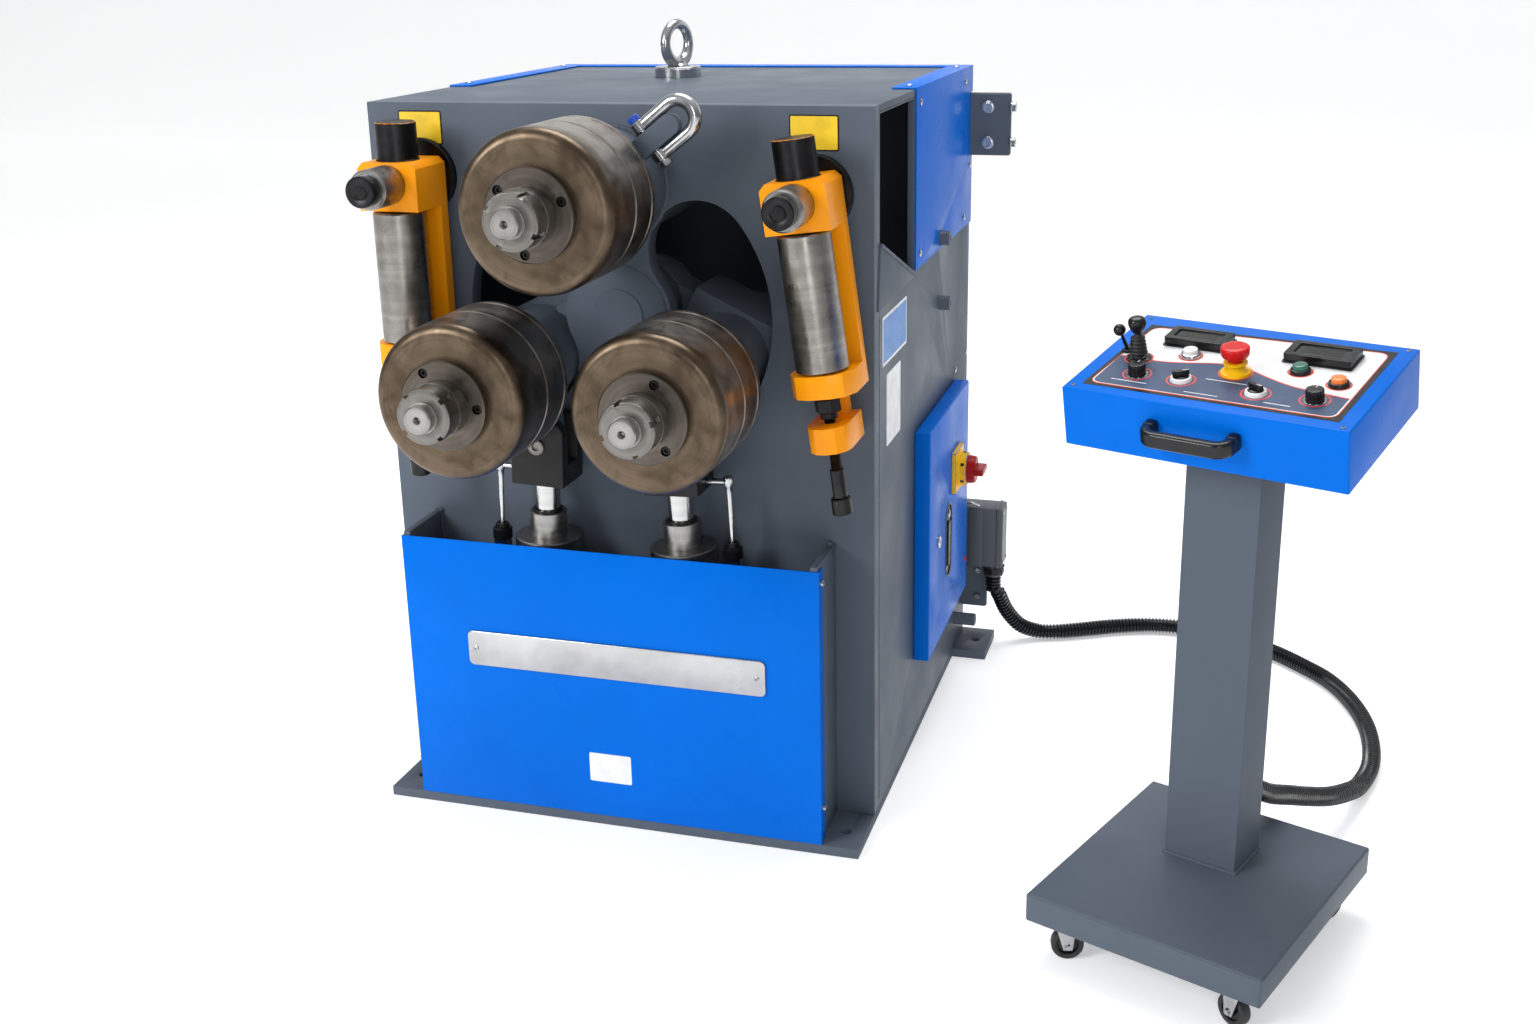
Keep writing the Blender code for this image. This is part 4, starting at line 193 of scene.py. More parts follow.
def turned_steel(name, color, roughness, patina=None, rings=1400.0, blotch=0.5, cut=0.16, grain=28.0,
        rest=None):
    """Lathe-turned steel: fine rings about the piece's own axis, with a blotchy patina over them.

    rest is the colour of a roll's side, behind its rounded front edge.
    """
    net = Net(name, color, roughness, 1.0)
    lines = net.noise(1.0, 2.0, 0.6, net.polar(rings, rings))
    bands = net.noise(1.0, 3.0, 0.6, net.polar(rings / 12, rings / 12))
    tone = net.mix(net.ramp(bands, (0.35, 0.0), (0.65, 1.0)), shade(color, 0.86), shade(color, 1.12))
    if rest is not None:
        split = net.add("ShaderNodeSeparateXYZ")
        net.link(net.place, split.inputs[0])
        height = net.add("ShaderNodeMapRange")
        net.link(split.outputs["Z"], height.inputs["Value"])
        height.inputs["From Min"].default_value = 0.270
        height.inputs["From Max"].default_value = 0.305
        tone = net.mix(height.outputs["Result"], rest, tone)
    if patina is not None:
        spots = net.ramp(net.noise(grain, 6.0, 0.55, distortion=0.4), (0.44, 0.0), (0.68, blotch))
        tone = net.mix(spots, tone, patina)
        pits = net.ramp(net.noise(170.0, 3.0, 0.6), (0.70, 0.0), (0.77, blotch * 0.8))
        tone = net.mix(pits, tone, shade(patina, 0.35))
    net.tint(tone)
    net.rough(net.noise(grain * 1.3, 5.0, 0.6), max(0.08, roughness - 0.08), roughness + 0.12)
    net.bump(lines, cut, 0.0004)
    return net.material


def drawn_steel(name, color, roughness, patina=None, grain=24.0):
    """Plain machined or cast steel without rings."""
    net = Net(name, color, roughness, 1.0)
    tone = net.ramp(net.noise(grain, 6.0, 0.65), (0.35, shade(color, 0.78)), (0.68, shade(color, 1.12)))
    if patina is not None:
        tone = net.mix(net.ramp(net.noise(grain * 0.6, 6.0, 0.7), (0.50, 0.0), (0.72, 0.5)), tone, patina)
    net.tint(tone)
    net.rough(net.noise(grain * 2, 4.0), max(0.05, roughness - 0.05), roughness + 0.07)
    net.bump(net.noise(120.0, 2.0), 0.04, 0.0004)
    return net.material


def moulded(name, color, roughness, grain=900.0, texture=0.10, **values):
    """Moulded plastic or rubber with a fine grain."""
    net = Net(name, color, roughness, **values)
    net.tint(net.ramp(net.noise(30.0, 4.0), (0.3, shade(color, 0.86)), (0.7, shade(color, 1.12))))
    net.rough(net.noise(45.0, 3.0), max(0.04, roughness - 0.05), roughness + 0.07)
    net.bump(net.noise(grain, 2.0, 0.5), texture, 0.0004)
    return net.material


GREY = paint("grey paint", (0.089, 0.109, 0.139), 0.42, 0.06, 0.05, Specular_IOR_Level=0.10)
BLUE = paint("blue paint", (0.000, 0.126, 0.590), 0.30, 0.04, 0.03, Specular_IOR_Level=0.05)
ORANGE = paint("orange paint", (0.930, 0.320, 0.001), 0.32, 0.05, 0.05, Specular_IOR_Level=0.20)
HOUSING = paint("dark housing paint", (0.066, 0.076, 0.090), 0.42, 0.08, 0.10)
# A near-black paint that stands for the shade deep inside the stud bores: painted shade.
HOLE_SHADE = paint("painted hole shade", (0.020, 0.022, 0.025), 0.70, 0.10, 0.05)
ROLL_FACE = turned_steel("roll steel", (0.132, 0.098, 0.068), 0.36, (0.050, 0.034, 0.022), 1500.0, 0.70,
        0.05, 21.0,
                         (0.270, 0.248, 0.225))
ROLL_RIM = turned_steel("bright roll rim", (0.440, 0.360, 0.290), 0.24, (0.200, 0.140, 0.095), 1500.0, 0.35,
        0.06)
HUB = turned_steel("hub steel", (0.190, 0.180, 0.168), 0.34, (0.150, 0.138, 0.125), 1900.0, 0.18, 0.03, 30.0)
WASHER = turned_steel("washer steel", (0.115, 0.100, 0.085), 0.36, (0.080, 0.068, 0.056), 1900.0, 0.30,
        0.03, 30.0)
STEEL = turned_steel("machined steel", (0.310, 0.302, 0.290), 0.32, (0.240, 0.225, 0.208), 1700.0, 0.15,
        0.03, 34.0)
ROLLER = turned_steel("guide roller steel", (0.300, 0.285, 0.265), 0.30, (0.135, 0.120, 0.105), 900.0, 0.55,
        0.06, 24.0)
CHROME = turned_steel("chromed rod", (0.500, 0.500, 0.500), 0.13, None, 900.0, 0.0, 0.02)
ZINC = drawn_steel("zinc plated steel", (0.500, 0.515, 0.530), 0.19, (0.330, 0.335, 0.345), 26.0)
BLACK_STEEL = drawn_steel("blackened steel", (0.028, 0.028, 0.030), 0.36, (0.050, 0.047, 0.044), 30.0)
BLACK_BOX = moulded("blackened block", (0.008, 0.008, 0.009), 0.42, 500.0, 0.02, Specular_IOR_Level=0.25)
BLACK = moulded("black plastic", (0.006, 0.006, 0.007), 0.28, 900.0, 0.015, Specular_IOR_Level=0.35)
RUBBER = moulded("black rubber", (0.014, 0.014, 0.015), 0.55, 700.0, 0.16)
HOSE = moulded("conduit plastic", (0.008, 0.009, 0.011), 0.22, 800.0, 0.03)
RED = moulded("red plastic", (0.600, 0.008, 0.008), 0.30, 600.0, 0.02, Specular_IOR_Level=0.25)
DARK_RED = moulded("dark red plastic", (0.330, 0.003, 0.005), 0.30, 600.0, 0.02, Specular_IOR_Level=0.15)
YELLOW = moulded("yellow plastic", (0.830, 0.470, 0.002), 0.34, 600.0, 0.02, Specular_IOR_Level=0.25)
GREEN = moulded("green lens", (0.004, 0.120, 0.075), 0.28, 500.0, 0.04, Coat_Weight=0.3)
WHITE = moulded("white lens", (0.780, 0.780, 0.760), 0.32, 500.0, 0.04)
AMBER = moulded("amber lens", (0.950, 0.200, 0.020), 0.26, 500.0, 0.04, Coat_Weight=0.4)
WHITE_SHEET = moulded("white panel sheet", (0.790, 0.800, 0.820), 0.36, 700.0, 0.04)
NAVY_SHEET = moulded("navy panel sheet", (0.022, 0.052, 0.125), 0.36, 700.0, 0.04)
RED_LINE = moulded("red panel line", (0.620, 0.060, 0.030), 0.38, 700.0, 0.04)
GLASS = moulded("display glass", (0.008, 0.010, 0.012), 0.10, 900.0, 0.01, Coat_Weight=0.6)
LABEL_YELLOW = moulded("plain yellow label", (0.830, 0.560, 0.020), 0.40, 600.0, 0.05)
LABEL_WHITE = moulded("plain white label", (0.760, 0.770, 0.780), 0.40, 600.0, 0.05)
LABEL_BLUE = moulded("plain blue label", (0.030, 0.200, 0.560), 0.40, 600.0, 0.05)
PLATE = drawn_steel("brushed plate", (0.480, 0.480, 0.490), 0.22, None, 7.0)


# Modelling helpers
def new_mesh(name, shape, matrix=None):
    mesh = bpy.data.meshes.new(name)
    shape.to_mesh(mesh)
    shape.free()
    obj = bpy.data.objects.new(name, mesh)
    if matrix is not None:
        obj.matrix_world = matrix
    bpy.context.scene.collection.objects.link(obj)
    return obj


def finish_edges(obj, angle=38):
    obj.data.shade_smooth()
    obj.data.set_sharp_from_angle(angle=math.radians(angle))


def soften(obj, width, segments=2, angle=35):
    bevel = obj.modifiers.new("edges", "BEVEL")
    bevel.width = width
    bevel.segments = segments
    bevel.limit_method = "ANGLE"
    bevel.angle_limit = math.radians(angle)
    bevel.use_clamp_overlap = True
    return obj


def baked(obj):
    """Applies the object's modifiers to its mesh."""
    bpy.context.view_layer.update()
    evaluated = obj.evaluated_get(bpy.context.evaluated_depsgraph_get())
    mesh = bpy.data.meshes.new_from_object(evaluated)
    obj.modifiers.clear()
    obj.data = mesh
    return obj


def boolean(target, operands, operation="DIFFERENCE"):
    for operand in operands:
        modifier = target.modifiers.new(operation.lower(), "BOOLEAN")
        modifier.operation = operation
        modifier.solver = "EXACT"
        modifier.object = operand
    baked(target)
    for operand in operands:
        bpy.data.objects.remove(operand, do_unlink=True)
    return target


def placed(obj, looks, body="root", *nodes, slot=None):
    """Gives a piece its looks and the body it rides on, and hides the solids it stands for; slot is not
    used.
    """
    looks = looks if isinstance(looks, list) else [looks]
    obj.data.materials.clear()
    for look in looks:
        obj.data.materials.append(look)
    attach(obj, body)
    if nodes:
        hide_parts(*nodes)
    return obj


def mm(*points):
    """Points given in millimetres, as metres."""
    return [(across / 1000, up / 1000) for across, up in points]


def aim(origin, axis):
    """A frame at origin whose Z looks along axis."""
    turn = Vector(axis).to_track_quat("Z", "Y").to_matrix().to_4x4()
    return Matrix.Translation(Vector(origin)) @ turn


def lathe(name, profile, matrix, sides=96, marks=(), angle=34):
    """A turned piece from (radius, height) pairs; marks gives stretches that take the second material."""
    shape = bmesh.new()
    rings = []
    for radius, height in profile:
        if radius < 1e-6:
            rings.append([shape.verts.new((0, 0, height))])
            continue
        rings.append([shape.verts.new((radius * math.cos(2 * math.pi * k / sides),
                radius * math.sin(2 * math.pi * k / sides), height)) for k in range(sides)])
    for index, (first, second) in enumerate(zip(rings, rings[1:])):
        for k in range(sides):
            after = (k + 1) % sides
            if len(first) == 1 and len(second) == 1:
                continue
            if len(first) == 1:
                corners = (first[0], second[after], second[k])
            elif len(second) == 1:
                corners = (first[k], first[after], second[0])
            else:
                corners = (first[k], first[after], second[after], second[k])
            face = shape.faces.new(corners)
            face.material_index = 1 if index in marks else 0
    bmesh.ops.recalc_face_normals(shape, faces=shape.faces)
    obj = new_mesh(name, shape, matrix)
    finish_edges(obj, angle)
    return obj


def rounded_corner(radius, height, size, start, end, steps=8):
    """Points of a round corner with its centre inside, from one angle to another."""
    return [(radius + size * math.cos(a), height + size * math.sin(a))
            for a in (math.radians(start + (end - start) * i / steps) for i in range(steps + 1))]


def disc_profile(radius, low, high, chamfer):
    """A solid round bar's profile from its top middle to its bottom middle."""
    return [(0, high), (radius - chamfer, high), (radius, high - chamfer), (radius, low + chamfer),
            (radius - chamfer, low), (0, low)]


def bar(name, start, end, radius, sides=48, chamfer=0.0008):
    start = Vector(start)
    along = Vector(end) - start
    return lathe(name, disc_profile(radius, 0.0, along.length, chamfer), aim(start, along), sides)


def ring(name, inner, outer, low, high, matrix, sides=64, chamfer=0.0006):
    profile = [(inner, high - chamfer), (inner + chamfer, high), (outer - chamfer, high),
            (outer, high - chamfer), (outer, low), (inner, low), (inner, high - chamfer)]
    return lathe(name, profile, matrix, sides)


def arc(centre, radius, start, end, steps):
    return [(centre[0] + radius * math.cos(a), centre[1] + radius * math.sin(a))
            for a in (math.radians(start + (end - start) * i / steps) for i in range(steps + 1))]


def circle(centre, radius, sides=48):
    return arc(centre, radius, 0, 360, sides)[:-1]


def hoop(at, radius, height, count):
    """Points of a circle about a frame's own Z axis."""
    return [at @ Vector((radius * math.cos(a), radius * math.sin(a), height))
            for a in (2 * math.pi * k / count for k in range(count))]


def rounded(low, high, radius, steps=6):
    corners = ((high[0] - radius, high[1] - radius, 0), (low[0] + radius, high[1] - radius, 90),
            (low[0] + radius, low[1] + radius, 180), (high[0] - radius, low[1] + radius, 270))
    points = []
    for across, up, start in corners:
        points += arc((across, up), radius, start, start + 90, steps)
    return points


XZ = Matrix(((1, 0, 0, 0), (0, 0, -1, 0), (0, 1, 0, 0), (0, 0, 0, 1)))
YZ = Matrix(((0, 0, 1, 0), (1, 0, 0, 0), (0, 1, 0, 0), (0, 0, 0, 1)))


def slab(name, outline, low, high, matrix, holes=(), bevel=0.0008, segments=2):
    """A plate of an outline with holes, between two heights square to its plane."""
    curve = bpy.data.curves.new(name, "CURVE")
    curve.dimensions = "2D"
    curve.fill_mode = "BOTH"
    curve.extrude = (high - low) / 2
    for loop in (outline, *holes):
        spline = curve.splines.new("POLY")
        spline.points.add(len(loop) - 1)
        for point, (across, up) in zip(spline.points, loop):
            point.co = (across, up, 0.0, 1.0)
        spline.use_cyclic_u = True
    source = bpy.data.objects.new(name, curve)
    bpy.context.scene.collection.objects.link(source)
    bpy.context.view_layer.update()
    mesh = bpy.data.meshes.new_from_object(source.evaluated_get(bpy.context.evaluated_depsgraph_get()))
    bpy.data.objects.remove(source, do_unlink=True)
    shape = bmesh.new()
    shape.from_mesh(mesh)
    bmesh.ops.remove_doubles(shape, verts=shape.verts, dist=0.00001)
    bmesh.ops.dissolve_limit(shape, angle_limit=math.radians(0.5), verts=shape.verts, edges=shape.edges)
    bmesh.ops.translate(shape, vec=(0, 0, (low + high) / 2), verts=shape.verts)
    obj = new_mesh(name, shape, matrix)
    if bevel:
        soften(obj, bevel, segments)
        baked(obj)
    finish_edges(obj, 30)
    return obj


def block(name, low, high, matrix=Matrix.Identity(4), bevel=0.0015, segments=2):
    shape = bmesh.new()
    bmesh.ops.create_cube(shape, size=1.0)
    low, high = Vector(low), Vector(high)
    bmesh.ops.scale(shape, vec=high - low, verts=shape.verts)
    bmesh.ops.translate(shape, vec=(low + high) / 2, verts=shape.verts)
    obj = new_mesh(name, shape, matrix)
    if bevel:
        soften(obj, bevel, segments)
        baked(obj)
    finish_edges(obj, 30)
    return obj


def sweep(name, points, section, up=None, closed=False):
    """A section of (side, up) offsets carried along points without twist; section(i) may change by index."""
    points = [Vector(p) for p in points]
    count = len(points)
    shape = bmesh.new()
    rows = []
    guide = Vector(up) if up is not None else None
    previous = None
    for i, point in enumerate(points):
        ahead = points[(i + 1) % count] if closed or i < count - 1 else point
        behind = points[i - 1] if closed or i > 0 else point
        along = (ahead - behind).normalized()
        if guide is not None:
            top = (guide - along * guide.dot(along)).normalized()
        elif previous is None:
            top = along.orthogonal().normalized()
        else:
            top = (previous - along * previous.dot(along)).normalized()
        previous = top
        side = along.cross(top)
        rows.append([shape.verts.new(point + side * a + top * b) for a, b in section(i)])
    width = len(rows[0])
    for i in range(count if closed else count - 1):
        following = rows[(i + 1) % count]
        for k in range(width):
            shape.faces.new((rows[i][k], rows[i][(k + 1) % width], following[(k + 1) % width], following[k]))
    if not closed:
        shape.faces.new(rows[0])
        shape.faces.new(rows[-1])
    bmesh.ops.recalc_face_normals(shape, faces=shape.faces)
    obj = new_mesh(name, shape)
    finish_edges(obj, 50)
    return obj


def pipe(name, points, radius, sides=24, closed=False, up=None):
    """A round tube; radius is one value or a function of the point's index."""
    at = radius if callable(radius) else lambda i: radius
    angles = [2 * math.pi * k / sides for k in range(sides)]
    return sweep(name, points, lambda i: [(at(i) * math.cos(a), at(i) * math.sin(a)) for a in angles], up,
            closed)


def weld(name, points, radius=0.0032, closed=False):
    """A weld bead of overlapping ripples along points."""
    def ripple(i):
        return radius * (0.86 + 0.16 * math.sin(i * 1.9) + 0.06 * math.sin(i * 0.61))
    return pipe(name, points, ripple, 10, closed)


def dense(points, step):
    """The same path with points at close equal steps."""
    points = [Vector(p) for p in points]
    made = [points[0]]
    for first, second in zip(points, points[1:]):
        count = max(1, round((second - first).length / step))
        made += [first.lerp(second, (i + 1) / count) for i in range(count)]
    return made


def dense_flat(points, step):
    return [(p.x, p.y) for p in dense([(x, y, 0.0) for x, y in points], step)]


def screw(name, place, axis, radius, look=None, kind="button", height=None, body="root"):
    """A round screw head with a hex socket on a face: a tall cap head or a low button head."""
    tall, dome = (1.2, 0.15) if kind == "cap" else (0.55, 0.75)
    height = height or radius * tall
    profile = [(0, height - radius * 0.5), (radius * 0.45, height - radius * 0.5), (radius * 0.52, height),
            (radius * (1 - dome * 0.35), height), (radius, height * (1 - dome * 0.5)), (radius, 0), (0, 0)]
    return placed(lathe(name, profile, aim(place, axis), 30), look or ZINC, body)


# The ribbed conduit
def conduit_route():
    """The conduit's middle line, as in the solids, from the connector's gland to the column's."""
    start = Vector((0.5148, 0.4595, 0.1637))
    end = Vector((1.0624, -0.4488, 0.185))
    out = Vector((0.36488, 0.93106, 0.0))
    lead = 0.030
    middle = ((0.526, 0.461, 0.12), (0.543, 0.472, 0.077), (0.571, 0.487, 0.039), (0.608, 0.505, 0.0205),
            (0.655, 0.52, 0.0178), (0.71, 0.546, 0.0178), (0.77, 0.577, 0.0178), (0.838, 0.602, 0.0178),
            (0.906, 0.609, 0.0178), (0.976, 0.597, 0.0178), (1.044, 0.564, 0.0178), (1.111, 0.52, 0.0178),
            (1.172, 0.461, 0.0178), (1.224, 0.397, 0.0178), (1.262, 0.312, 0.0178), (1.285, 0.22, 0.0178),
            (1.293, 0.127, 0.0178), (1.287, 0.032, 0.0178), (1.264, -0.055, 0.022), (1.238, -0.13, 0.045),
            (1.205, -0.2, 0.07), (1.168, -0.262, 0.098), (1.136, -0.316, 0.125), (1.106, -0.366, 0.15))
    points = [start, start - Vector((0, 0, lead)), *[Vector(p) for p in middle], end + out * lead, end]
    route = [points[0]]
    for before, first, second, after in zip(points, points[1:], points[2:], points[3:]):
        for i in range(12):
            t = i / 12
            bend = 2 * before - 5 * first + 4 * second - after
            twist = 3 * first - before - 3 * second + after
            route.append(0.5 * (2 * first + (second - before) * t + bend * t * t + twist * t * t * t))
    return [*route, points[-2], points[-1]]


def even_points(route, step):
    lengths = [0.0]
    for first, second in zip(route, route[1:]):
        lengths.append(lengths[-1] + (second - first).length)
    count = round(lengths[-1] / step)
    places, index = [], 0
    for i in range(count + 1):
        want = lengths[-1] * i / count
        while index < len(route) - 2 and lengths[index + 1] < want:
            index += 1
        span = lengths[index + 1] - lengths[index]
        places.append(route[index].lerp(route[index + 1], (want - lengths[index]) / span))
    return places


def conduit():
    steps = 6
    places = even_points(conduit_route(), CONDUIT_RIB / steps)
    shape = (1.0, 1.0, 0.88, 0.76, 0.76, 0.88)
    body = pipe("conduit_hose", places, lambda i: CONDUIT_DIAMETER / 2 * shape[i % steps], 20)
    body.data.shade_smooth()
    placed(body, HOSE, "root", "conduit")


make_camera()
conduit()


# Solids that stay, with softer edges and their materials
def smooth_group():
    """Shades smooth except at edges sharper than an angle."""
    group = bpy.data.node_groups.new("smooth by angle", "GeometryNodeTree")
    group.interface.new_socket("Geometry", in_out="INPUT", socket_type="NodeSocketGeometry")
    group.interface.new_socket("Geometry", in_out="OUTPUT", socket_type="NodeSocketGeometry")
    start, end = group.nodes.new("NodeGroupInput"), group.nodes.new("NodeGroupOutput")
    faces = group.nodes.new("GeometryNodeSetShadeSmooth")
    edges = group.nodes.new("GeometryNodeSetShadeSmooth")
    edges.domain = "EDGE"
    edges.inputs["Shade Smooth"].default_value = False
    angle = group.nodes.new("GeometryNodeInputMeshEdgeAngle")
    sharp = group.nodes.new("FunctionNodeCompare")
    sharp.operation = "GREATER_THAN"
    sharp.inputs[1].default_value = math.radians(28)
    for first, second in ((start.outputs[0], faces.inputs["Geometry"]), (faces.outputs[0],
            edges.inputs["Geometry"]),
                          (angle.outputs["Unsigned Angle"], sharp.inputs[0]),
                          (sharp.outputs[0], edges.inputs["Selection"]), (edges.outputs[0], end.inputs[0])):
        group.links.new(first, second)
    return group


SMOOTH = smooth_group()


def dress(node, material, bevel=0.0012, segments=2):
    """Gives a solid its material and, with modifiers alone, soft edges."""
    obj = NODES[node]
    if "custom_normal" in obj.data.attributes:
        obj.data.attributes.remove(obj.data.attributes["custom_normal"])
    obj.data.materials.clear()
    obj.data.materials.append(material)
    merge = obj.modifiers.new("merge", "WELD")
    merge.merge_threshold = 0.000005
    if bevel:
        soften(obj, bevel, segments, 40)
    smooth = obj.modifiers.new("smooth", "NODES")
    smooth.node_group = SMOOTH
    return obj


DRESSED = {
    "base_plate": (GREY, 0.0015), "left_side_plate": (GREY, 0.001), "right_side_plate": (GREY, 0.001),
    "top_plate": (GREY, 0.0015), "rear_panel": (BLUE, 0.001), "rear_hood": (BLUE, 0.001),
    "front_cover": (BLUE, 0.0008), "cabinet_tub": (GREY, 0.001), "cabinet_door": (BLUE, 0.001),
    "left_arm": (GREY, 0.0015), "right_arm": (GREY, 0.0015), "left_clevis": (BLACK_BOX, 0.0012),
    "right_clevis": (BLACK_BOX, 0.0012), "left_guide_bracket": (ORANGE, 0.0022),
    "right_guide_bracket": (ORANGE, 0.0022), "console_stand": (GREY, 0.0015), "console_box": (BLUE, 0.0015),
    "upper_gear_motor": (HOUSING, 0.001), "hydraulic_unit": (HOUSING, 0.002), "supply_connector": (HOUSING,
    0.001),
}
for index in range(1, 5):
    DRESSED["caster_fork_%d" % index] = (ZINC, 0.0005)
for node, (material, bevel) in DRESSED.items():
    dress(node, material, bevel)


# Front plate with its boss, pivot cap and welded lug
def kidney(side):
    half = 0.0875
    low_end = arc(PIVOT, SWING, -26, -26, 1)[0]
    high_end = arc(PIVOT, SWING, 37, 37, 1)[0]
    points = arc(PIVOT, SWING + half, -26, 37, 40)
    points += arc(high_end, half, 37, 217, 48)[1:]
    points += arc(PIVOT, SWING - half, 37, -26, 20)[1:]
    points += arc(low_end, half, 154, 334, 48)[1:-1]
    return [(side * x, z) for x, z in points]


def front_plate():
    outline = [(-HALF_WIDTH, 0.0183), (HALF_WIDTH, 0.0183), (HALF_WIDTH, BODY_HEIGHT), (-HALF_WIDTH,
            BODY_HEIGHT)]
    holes = [kidney(-1), kidney(1)]
    placed(slab("front_plate_sheet", outline, 0.0, 0.035, XZ @ Matrix.Translation((0, 0, -PLATE_BACK)),
            holes, 0.0012), GREY, "root", "front_plate")
    front = aim((UPPER[0], FRONT_Y, UPPER[1]), (0, -1, 0))
    placed(lathe("upper_boss", mm((45.5, -34), (45.5, 124), (47, 125), (92.5, 125), (95, 122.5),
            (95, -10)), front, 96), GREY)
    bead = hoop(front, 0.0965, 0.0012, 150)
    placed(weld("upper_boss_weld", bead, 0.0042, True), GREY)
    at_pivot = aim((PIVOT[0], FRONT_Y, PIVOT[1]), (0, -1, 0))
    placed(lathe("pivot_disc", mm((0, 3.4), (84.5, 3.4), (86.5, 2.2), (87.2, -4)), at_pivot, 96), GREY)
    placed(lathe("pivot_cap", mm((0, 6), (44.5, 6), (46.2, 4.8), (46.4, 0)), at_pivot, 80), GREY)
    groove = hoop(at_pivot, 0.0868, 0.0004, 160)
    placed(weld("pivot_disc_weld", groove, 0.0018, True), GREY)
    for name, side in SIDES.items():
        x = side * 0.3687
        placed(slab("cover_wall_" + name, [(FRONT_Y - 0.1185, 0.0183), (FRONT_Y + 0.002, 0.0183),
                (FRONT_Y + 0.002, 0.523), (FRONT_Y - 0.1185, 0.523)], x - 0.006, x + 0.006, YZ, (), 0.001),
                GREY)
        path = dense([(x - side * 0.007, FRONT_Y - 0.001, 0.03), (x - side * 0.007, FRONT_Y - 0.001,
                0.520)], 0.004)
        placed(weld("cover_wall_weld_" + name, path, 0.003), GREY)
        tack = [(x + side * (0.002 - 0.002 * i), FRONT_Y - 0.010 + 0.002 * i, 0.5235) for i in range(6)]
        placed(weld("cover_wall_tack_" + name, tack, 0.0045), GREY)


def lug_frame():
    """The shackle lug's frame: X outwards from the upper roll's axis, Z towards the viewer."""
    angle = math.radians(38)
    turn = Matrix(((math.cos(angle), -math.sin(angle), 0, 0), (0, 0, -1, 0),
            (math.sin(angle), math.cos(angle), 0, 0), (0, 0, 0, 1)))
    return Matrix.Translation((0, FRONT_Y - 0.095, UPPER[1])) @ turn


def shackle():
    lug = lug_frame()
    half = 0.017
    outline = [(0.08, -half), (0.195 - half, -half), *arc((0.195 - half, 0), half, -90, 90, 20)[1:-1],
            (0.195 - half, half), (0.08, half)]
    placed(slab("shackle_lug", outline, -0.01, 0.01, lug, (), 0.0015), GREY)
    root = [lug @ Vector((0.0955, -half - 0.001 + i * 0.0036, 0.0105)) for i in range(11)]
    placed(weld("shackle_lug_weld", root, 0.0035), GREY)
    offset, wire = 0.0275, 0.0095
    bow = [(0.133 + 0.004 * i, -offset) for i in range(16)]
    bow += arc((0.195, 0), offset, -90, 90, 28)
    bow += [(0.193 - 0.004 * i, offset) for i in range(16)]
    last = len(bow) - 1
    placed(pipe("shackle_bow", [lug @ Vector((x, y, 0)) for x, y in bow],
            lambda i: wire + 0.0014 * math.sin(math.pi * i / last) ** 2, 28,
            up=lug.to_3x3() @ Vector((0, 0, 1))), ZINC, "shackle", "lifting_shackle")
    for side in (-1, 1):
        placed(lathe("shackle_leg_eye_%s" % ("low" if side < 0 else "high"),
                mm((0, 8.5), (12.5, 8.5), (14, 7), (14, -7), (12.5, -8.5), (0, -8.5)),
                aim(lug @ Vector((0.1345, side * offset, 0)), lug.to_3x3() @ Vector((0, 1, 0))), 40), ZINC,
                "shackle")
    across = lug.to_3x3() @ Vector((0, 1, 0))
    placed(bar("shackle_pin", lug @ Vector((0.135, -0.044, 0)), lug @ Vector((0.135, 0.044, 0)), 0.0072,
            32), ZINC, "shackle")
    placed(lathe("shackle_pin_head", mm((0, 10), (8.5, 10), (9.8, 8.5), (9.8, 0), (0, 0)),
            aim(lug @ Vector((0.135, 0.0375, 0)), across), 40), paint("blue pin paint", (0.01, 0.06, 0.42),
            0.35), "shackle", slot="machined_steel")
    placed(lathe("shackle_pin_nut", mm((0, 9), (9.5, 9), (11.2, 7.5), (11.2, 0), (0, 0)),
            aim(lug @ Vector((0.135, -0.0375, 0)), -across), 6, angle=20), ZINC, "shackle")


front_plate()
shackle()


# Rolls with their hubs
def roll_frame(name):
    x, z = ROLL_AXES[name]
    return aim((x, FRONT_Y, z), (0, -1, 0))


def rolls():
    edge = 0.0172
    seam = 0.0017
    for name in ROLL_AXES:
        frame_at = roll_frame(name)
        body = name + "_spindle"
        big = 0.1262
        profile = mm((40.5, 314.8), (71, 314.8), (71.8, 313.8), (109, 313.8))
        profile += rounded_corner(big - edge, 0.3138 - edge, edge, 88, 0, 12)
        marks = []
        for low, high in ((0.2188, None), (0.1518, 0.2152), (0.1352, 0.1482)):
            if high is not None:
                profile += [(big - 0.0045, high + seam), (big - 0.0045, high), (big - 0.0016, high)]
                marks.append(len(profile) - 1)
                profile += [(big, high - 0.0018)]
            marks.append(len(profile))
            profile += [(big, low + 0.0018), (big - 0.0016, low)]
        profile += [(0.0405, 0.1352)]
        placed(lathe(name + "_roll_discs", profile, frame_at, 144, marks, 32), [ROLL_FACE, ROLL_RIM], body,
                name + "_roll")
        hub(name, frame_at, body)


